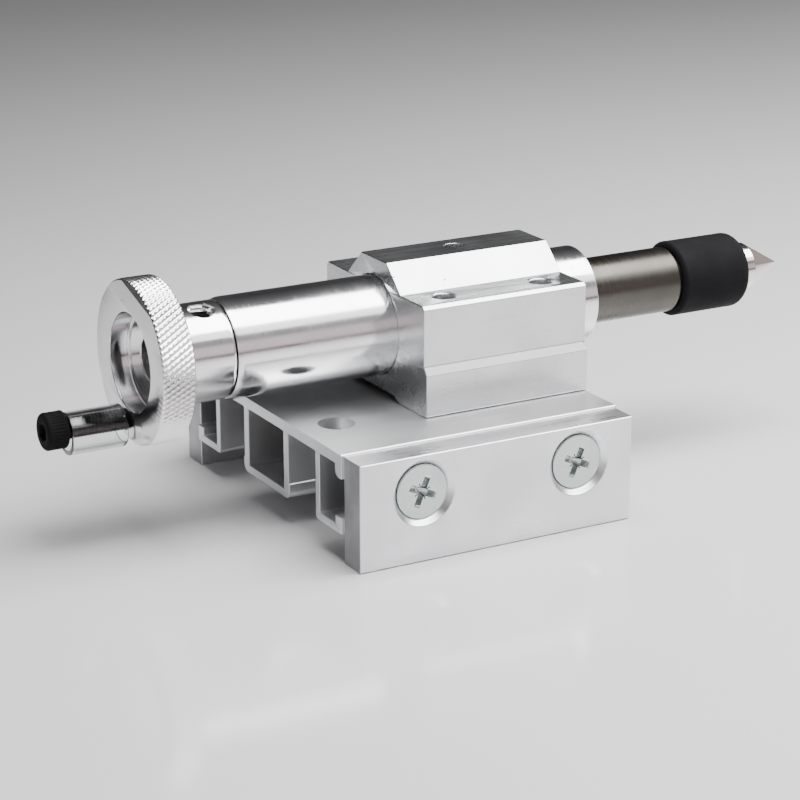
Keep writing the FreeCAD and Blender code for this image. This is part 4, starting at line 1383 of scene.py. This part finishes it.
@dataclass(frozen=True)
class Nose:
    """The quill, its nose nut and the revolving centre."""

    spigot: float = 6.5
    spigot_radius: float = 6.0
    tapped: float = 4.05
    relieved: float = 4.35
    thread_length: float = 20.0
    bore_depth: float = 55.0
    tail_bore: float = 4.55
    tail_depth: float = 2.0
    key_middle: float = 15.5
    key_half: float = 17.3
    key_radius: float = 1.2
    key_depth: float = 1.6
    nut_round: float = 1.8
    nut_lip: float = 1.7
    nut_lip_bore: float = 5.3
    nut_bore: float = 6.02
    nut_knurl: float = 0.04
    nut_knurl_count: int = 60
    point_radius: float = 5.0
    point_land: float = 4.1
    cone: float = 8.66
    shaft: float = 2.99
    boss: float = 3.7

    def quill(self) -> bpy.types.Object:
        """The quill: ground outside with a keyway on top, a threaded bore and a spigot."""
        box = Extent.of("quill")
        start, stop, axis = box.low[0], box.high[0], box.middle[2]
        radius = box.high[2] - axis
        shoulder = stop - self.spigot
        place = Place((0.0, 0.0, axis))
        shell = Shell("quill_bar")
        half, floor = self.key_half, radius - self.key_depth
        slot = Slot(self.key_middle, half, self.key_radius, floor, (half + 2.0, 2.2))
        turn = slot.skin(shell, place, radius, (start + 0.3, shoulder - 0.8), 140)
        nose = run(
            (shoulder - 0.8, radius, 0.0),
            (shoulder, radius, 0.79),
            (shoulder, self.spigot_radius - 0.4, 0.0),
            (shoulder + 0.3, self.spigot_radius - 0.4, 0.0),
            (shoulder + 0.7, self.spigot_radius, 0.0),
            (stop, self.spigot_radius, 0.0),
            (stop, self.tail_bore, 0.0),
            (stop - self.tail_depth, self.tail_bore, 0.0),
            (stop - self.tail_depth, 0.0, 0.0),
        )
        shell.grid(lathe(nose, place, turn))
        bore = run(
            (start + self.bore_depth, 0.0, 0.0),
            (start + self.bore_depth, self.relieved, 0.0),
            (start + self.thread_length, self.relieved, 0.0),
            (start + self.thread_length, self.tapped, 0.0),
            (start, self.tapped, 0.0),
            (start, radius - 0.3, 0.0),
            (start + 0.3, radius, 0.0),
        )
        shell.grid(lathe(bore, place, turn))
        return fit(shell, (GROUND_STEEL,), "quill", "quill")

    def nut(self) -> bpy.types.Object:
        """The nose nut: blackened, rounded in front, with a fine shallow knurl."""
        box = Extent.of("nose_nut")
        start, stop = box.low[0], box.high[0]
        radius = (box.high[1] - box.low[1]) / 2.0
        place = Place((0.0, 0.0, box.middle[2]))
        turn = turns(420)
        shell = Shell("blackened_nose_nut")
        rear = run((start, self.nut_bore, 0.0), (start, radius - 0.5, 0.0), (start + 0.5, radius, 0.0))
        shell.grid(lathe(rear, place, turn))
        along = np.linspace(start + 0.5, stop - self.nut_round, 90)[:, None]
        height = diamond(turn, along, self.nut_knurl_count, math.radians(30.0), radius, 1.0)
        end = self.nut_round - stop
        fade = ease(along, start + 0.6, start + 1.3) * ease(-along, end + 0.1, end + 0.9)
        knurled = radius - self.nut_knurl * fade * (1.0 - height)
        shell.grid(place.points(knurled * np.sin(turn), knurled * np.cos(turn), along))
        lip = (stop, self.nut_lip_bore + 0.2, 0.0)
        bend = [(stop - self.nut_round, radius, 0.0), (stop, radius, self.nut_round - 0.02), lip]
        front = np.concatenate(rounded(bend, closed=False, steps=12))
        shell.grid(lathe(front, place, turn))
        inside = run(
            lip,
            (stop - 0.2, self.nut_lip_bore, 0.0),
            (stop - self.nut_lip, self.nut_lip_bore, 0.0),
            (stop - self.nut_lip, self.nut_bore, 0.0),
            (start, self.nut_bore, 0.0),
        )
        shell.grid(lathe(inside, place, turn))
        return fit(shell, (BLACK_OXIDE,), "quill", "nose_nut")

    def centre(self) -> bpy.types.Object:
        """The revolving centre: shaft, boss, land and a sixty degree cone with an eased tip."""
        box = Extent.of("center_point")
        start, stop = box.low[0], box.high[0]
        place = Place((0.0, 0.0, box.middle[2]))
        land = stop - self.cone
        back = land - self.point_land
        profile = run(
            (start, 0.0, 0.0),
            (start, self.shaft, 0.0),
            (back - 0.3, self.shaft, 0.0),
            (back - 0.3, self.boss, 0.0),
            (back, self.boss, 0.0),
            (back, self.point_radius, 0.2),
            (land, self.point_radius, 0.25),
            (stop - 0.26, 0.15, 0.0),
            (stop - 0.08, 0.1, 0.0),
            (stop - 0.02, 0.0, 0.0),
        )
        shell = Shell("centre_cone")
        shell.grid(lathe(profile, place))
        return fit(shell, (NICKEL,), "center", "center_point")

    def build(self) -> None:
        """Makes the quill, nut and centre and dresses the bearing."""
        self.quill()
        self.nut()
        self.centre()
        for name in ("bearing_outer_ring", "bearing_inner_ring"):
            dress(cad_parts[name], (BEARING_STEEL,))


# The studio


# What the polished metal sees of the room: the angle above the horizon in front, in degrees, and the
# colour there. At 180 degrees it is the horizon behind the part.
ROOM = (
    (1.5, (0.13, 0.10, 0.11)),
    (5.0, (0.95, 0.80, 0.83)),
    (22.0, (0.92, 0.80, 0.82)),
    (29.0, (0.36, 0.34, 0.36)),
    (36.0, (0.40, 0.39, 0.40)),
    (44.0, (0.25, 0.25, 0.25)),
    (60.0, (0.06, 0.06, 0.06)),
    (100.0, (0.06, 0.06, 0.06)),
    (112.0, (0.12, 0.12, 0.125)),
    (150.0, (0.042, 0.042, 0.044)),
    (180.0, (0.06, 0.06, 0.06)),
)


@dataclass(frozen=True)
class Studio:
    """A pale glossy table, two soft lights overhead, a dim room and the camera."""

    camera: tuple[float, float, float] = (-221.95, -395.34, 159.81)
    target: tuple[float, float, float] = (-14.17, -24.64, 21.33)
    lens: float = 112.3
    light_height: float = 370.0
    main_light: tuple[float, float, float, float] = (-110.0, 640.0, -215.0, 69.0)
    main_radiance: float = 12.0
    front_light: tuple[float, float, float, float] = (-110.0, 640.0, -400.0, -215.0)
    front_radiance: float = 2.4
    table: float = 4000.0

    def floor(self) -> None:
        """The table: a flat square just under the plates' lower edges."""
        level = Extent.of("near_side_plate").low[2] - 0.02
        shell = Shell("table")
        half = np.array([-self.table, self.table])
        place = Place((0.0, 0.0, level), (1.0, 0.0, 0.0), (0.0, 1.0, 0.0), (0.0, 0.0, 1.0))
        shell.grid(place.points(half[:, None], half, 0.0))
        table = shell.object()
        material, nodes, spot = new_material("glossy table")
        clouds = Metal.effect(nodes, Effect.CLOUDS, Vector=spot, Scale=6.0)
        colour = nodes.blend(clouds, (0.68, 0.68, 0.69, 1.0), (0.66, 0.66, 0.67, 1.0))
        shader = nodes.add("ShaderNodeBsdfPrincipled", {"Base Color": colour, "Roughness": 0.12})
        nodes.add("ShaderNodeOutputMaterial", {"Surface": shader.outputs[0]})
        table.data.materials.append(material)

    def panel(self, name: str, span: tuple[float, float, float, float], radiance: float) -> None:
        """Hangs a soft light: its power is its radiance times its area and pi.

        Args:
            name: The light's name.
            span: The light's limits in x and y.
            radiance: How bright the light looks.
        """
        west, east, south, north = (side * MM for side in span)
        lamp = bpy.data.lights.new(name, "AREA")
        lamp.shape = "RECTANGLE"
        lamp.size, lamp.size_y = east - west, north - south
        lamp.energy = radiance * math.pi * lamp.size * lamp.size_y
        holder = bpy.data.objects.new(name, lamp)
        holder.location = ((west + east) / 2.0, (south + north) / 2.0, self.light_height * MM)
        bpy.context.scene.collection.objects.link(holder)

    def light(self) -> None:
        """The two soft lights, and the dim room that the polished metal shows in bands."""
        self.panel("main softbox", self.main_light, self.main_radiance)
        self.panel("front softbox", self.front_light, self.front_radiance)
        world = bpy.data.worlds.new("room")
        bpy.context.scene.world = world
        world.use_nodes = True
        nodes = Nodes(world.node_tree)
        way = nodes.add("ShaderNodeSeparateXYZ", {0: nodes.add("ShaderNodeTexCoord").outputs["Generated"]})
        climb = nodes.sum("ARCTAN2", way.outputs[2], nodes.sum("MULTIPLY", way.outputs[1], -1.0))
        bands = nodes.add("ShaderNodeValToRGB", {0: nodes.sum("DIVIDE", climb, math.pi)})
        stops = bands.color_ramp.elements
        for _ in ROOM[2:]:
            stops.new(0.5)
        for stop, (angle, colour) in zip(stops, ROOM):
            stop.position = angle / 180.0
            stop.color = (*colour, 1.0)
        east = nodes.spread(way.outputs[0], 0.6, 0.85)
        side = nodes.sum("MULTIPLY", east, nodes.spread(way.outputs[2], 0.45, 0.3))
        colour = nodes.blend(side, bands.outputs[0], (0.55, 0.47, 0.46, 1.0))
        shader = nodes.add("ShaderNodeBackground", {"Color": colour, "Strength": 1.0})
        nodes.add("ShaderNodeOutputWorld", {"Surface": shader.outputs[0]})

    def view(self) -> None:
        """The camera, aimed with its up direction as near to Z as it can be."""
        camera = bpy.data.cameras.new("camera")
        camera.lens = self.lens
        camera.sensor_width = 36.0
        camera.clip_start = 0.01
        holder = bpy.data.objects.new("camera", camera)
        spot = Vector(self.camera) * MM
        aim = (Vector(self.target) * MM - spot).to_track_quat("-Z", "Y")
        holder.matrix_world = Matrix.Translation(spot) @ aim.to_matrix().to_4x4()
        bpy.context.scene.collection.objects.link(holder)
        bpy.context.scene.camera = holder

    def build(self) -> None:
        """Sets the table, the light and the camera."""
        self.floor()
        self.light()
        self.view()


def main() -> None:
    """Builds each sub-assembly in order."""
    logging.basicConfig(level=logging.INFO, format="%(name)s %(message)s")
    for assembly in (Base(), Housing(), Drive(), Nose(), Studio()):
        log.info("building the %s", type(assembly).__name__.lower())
        assembly.build()
    bpy.context.view_layer.update()


if __name__ == "__main__":
    main()
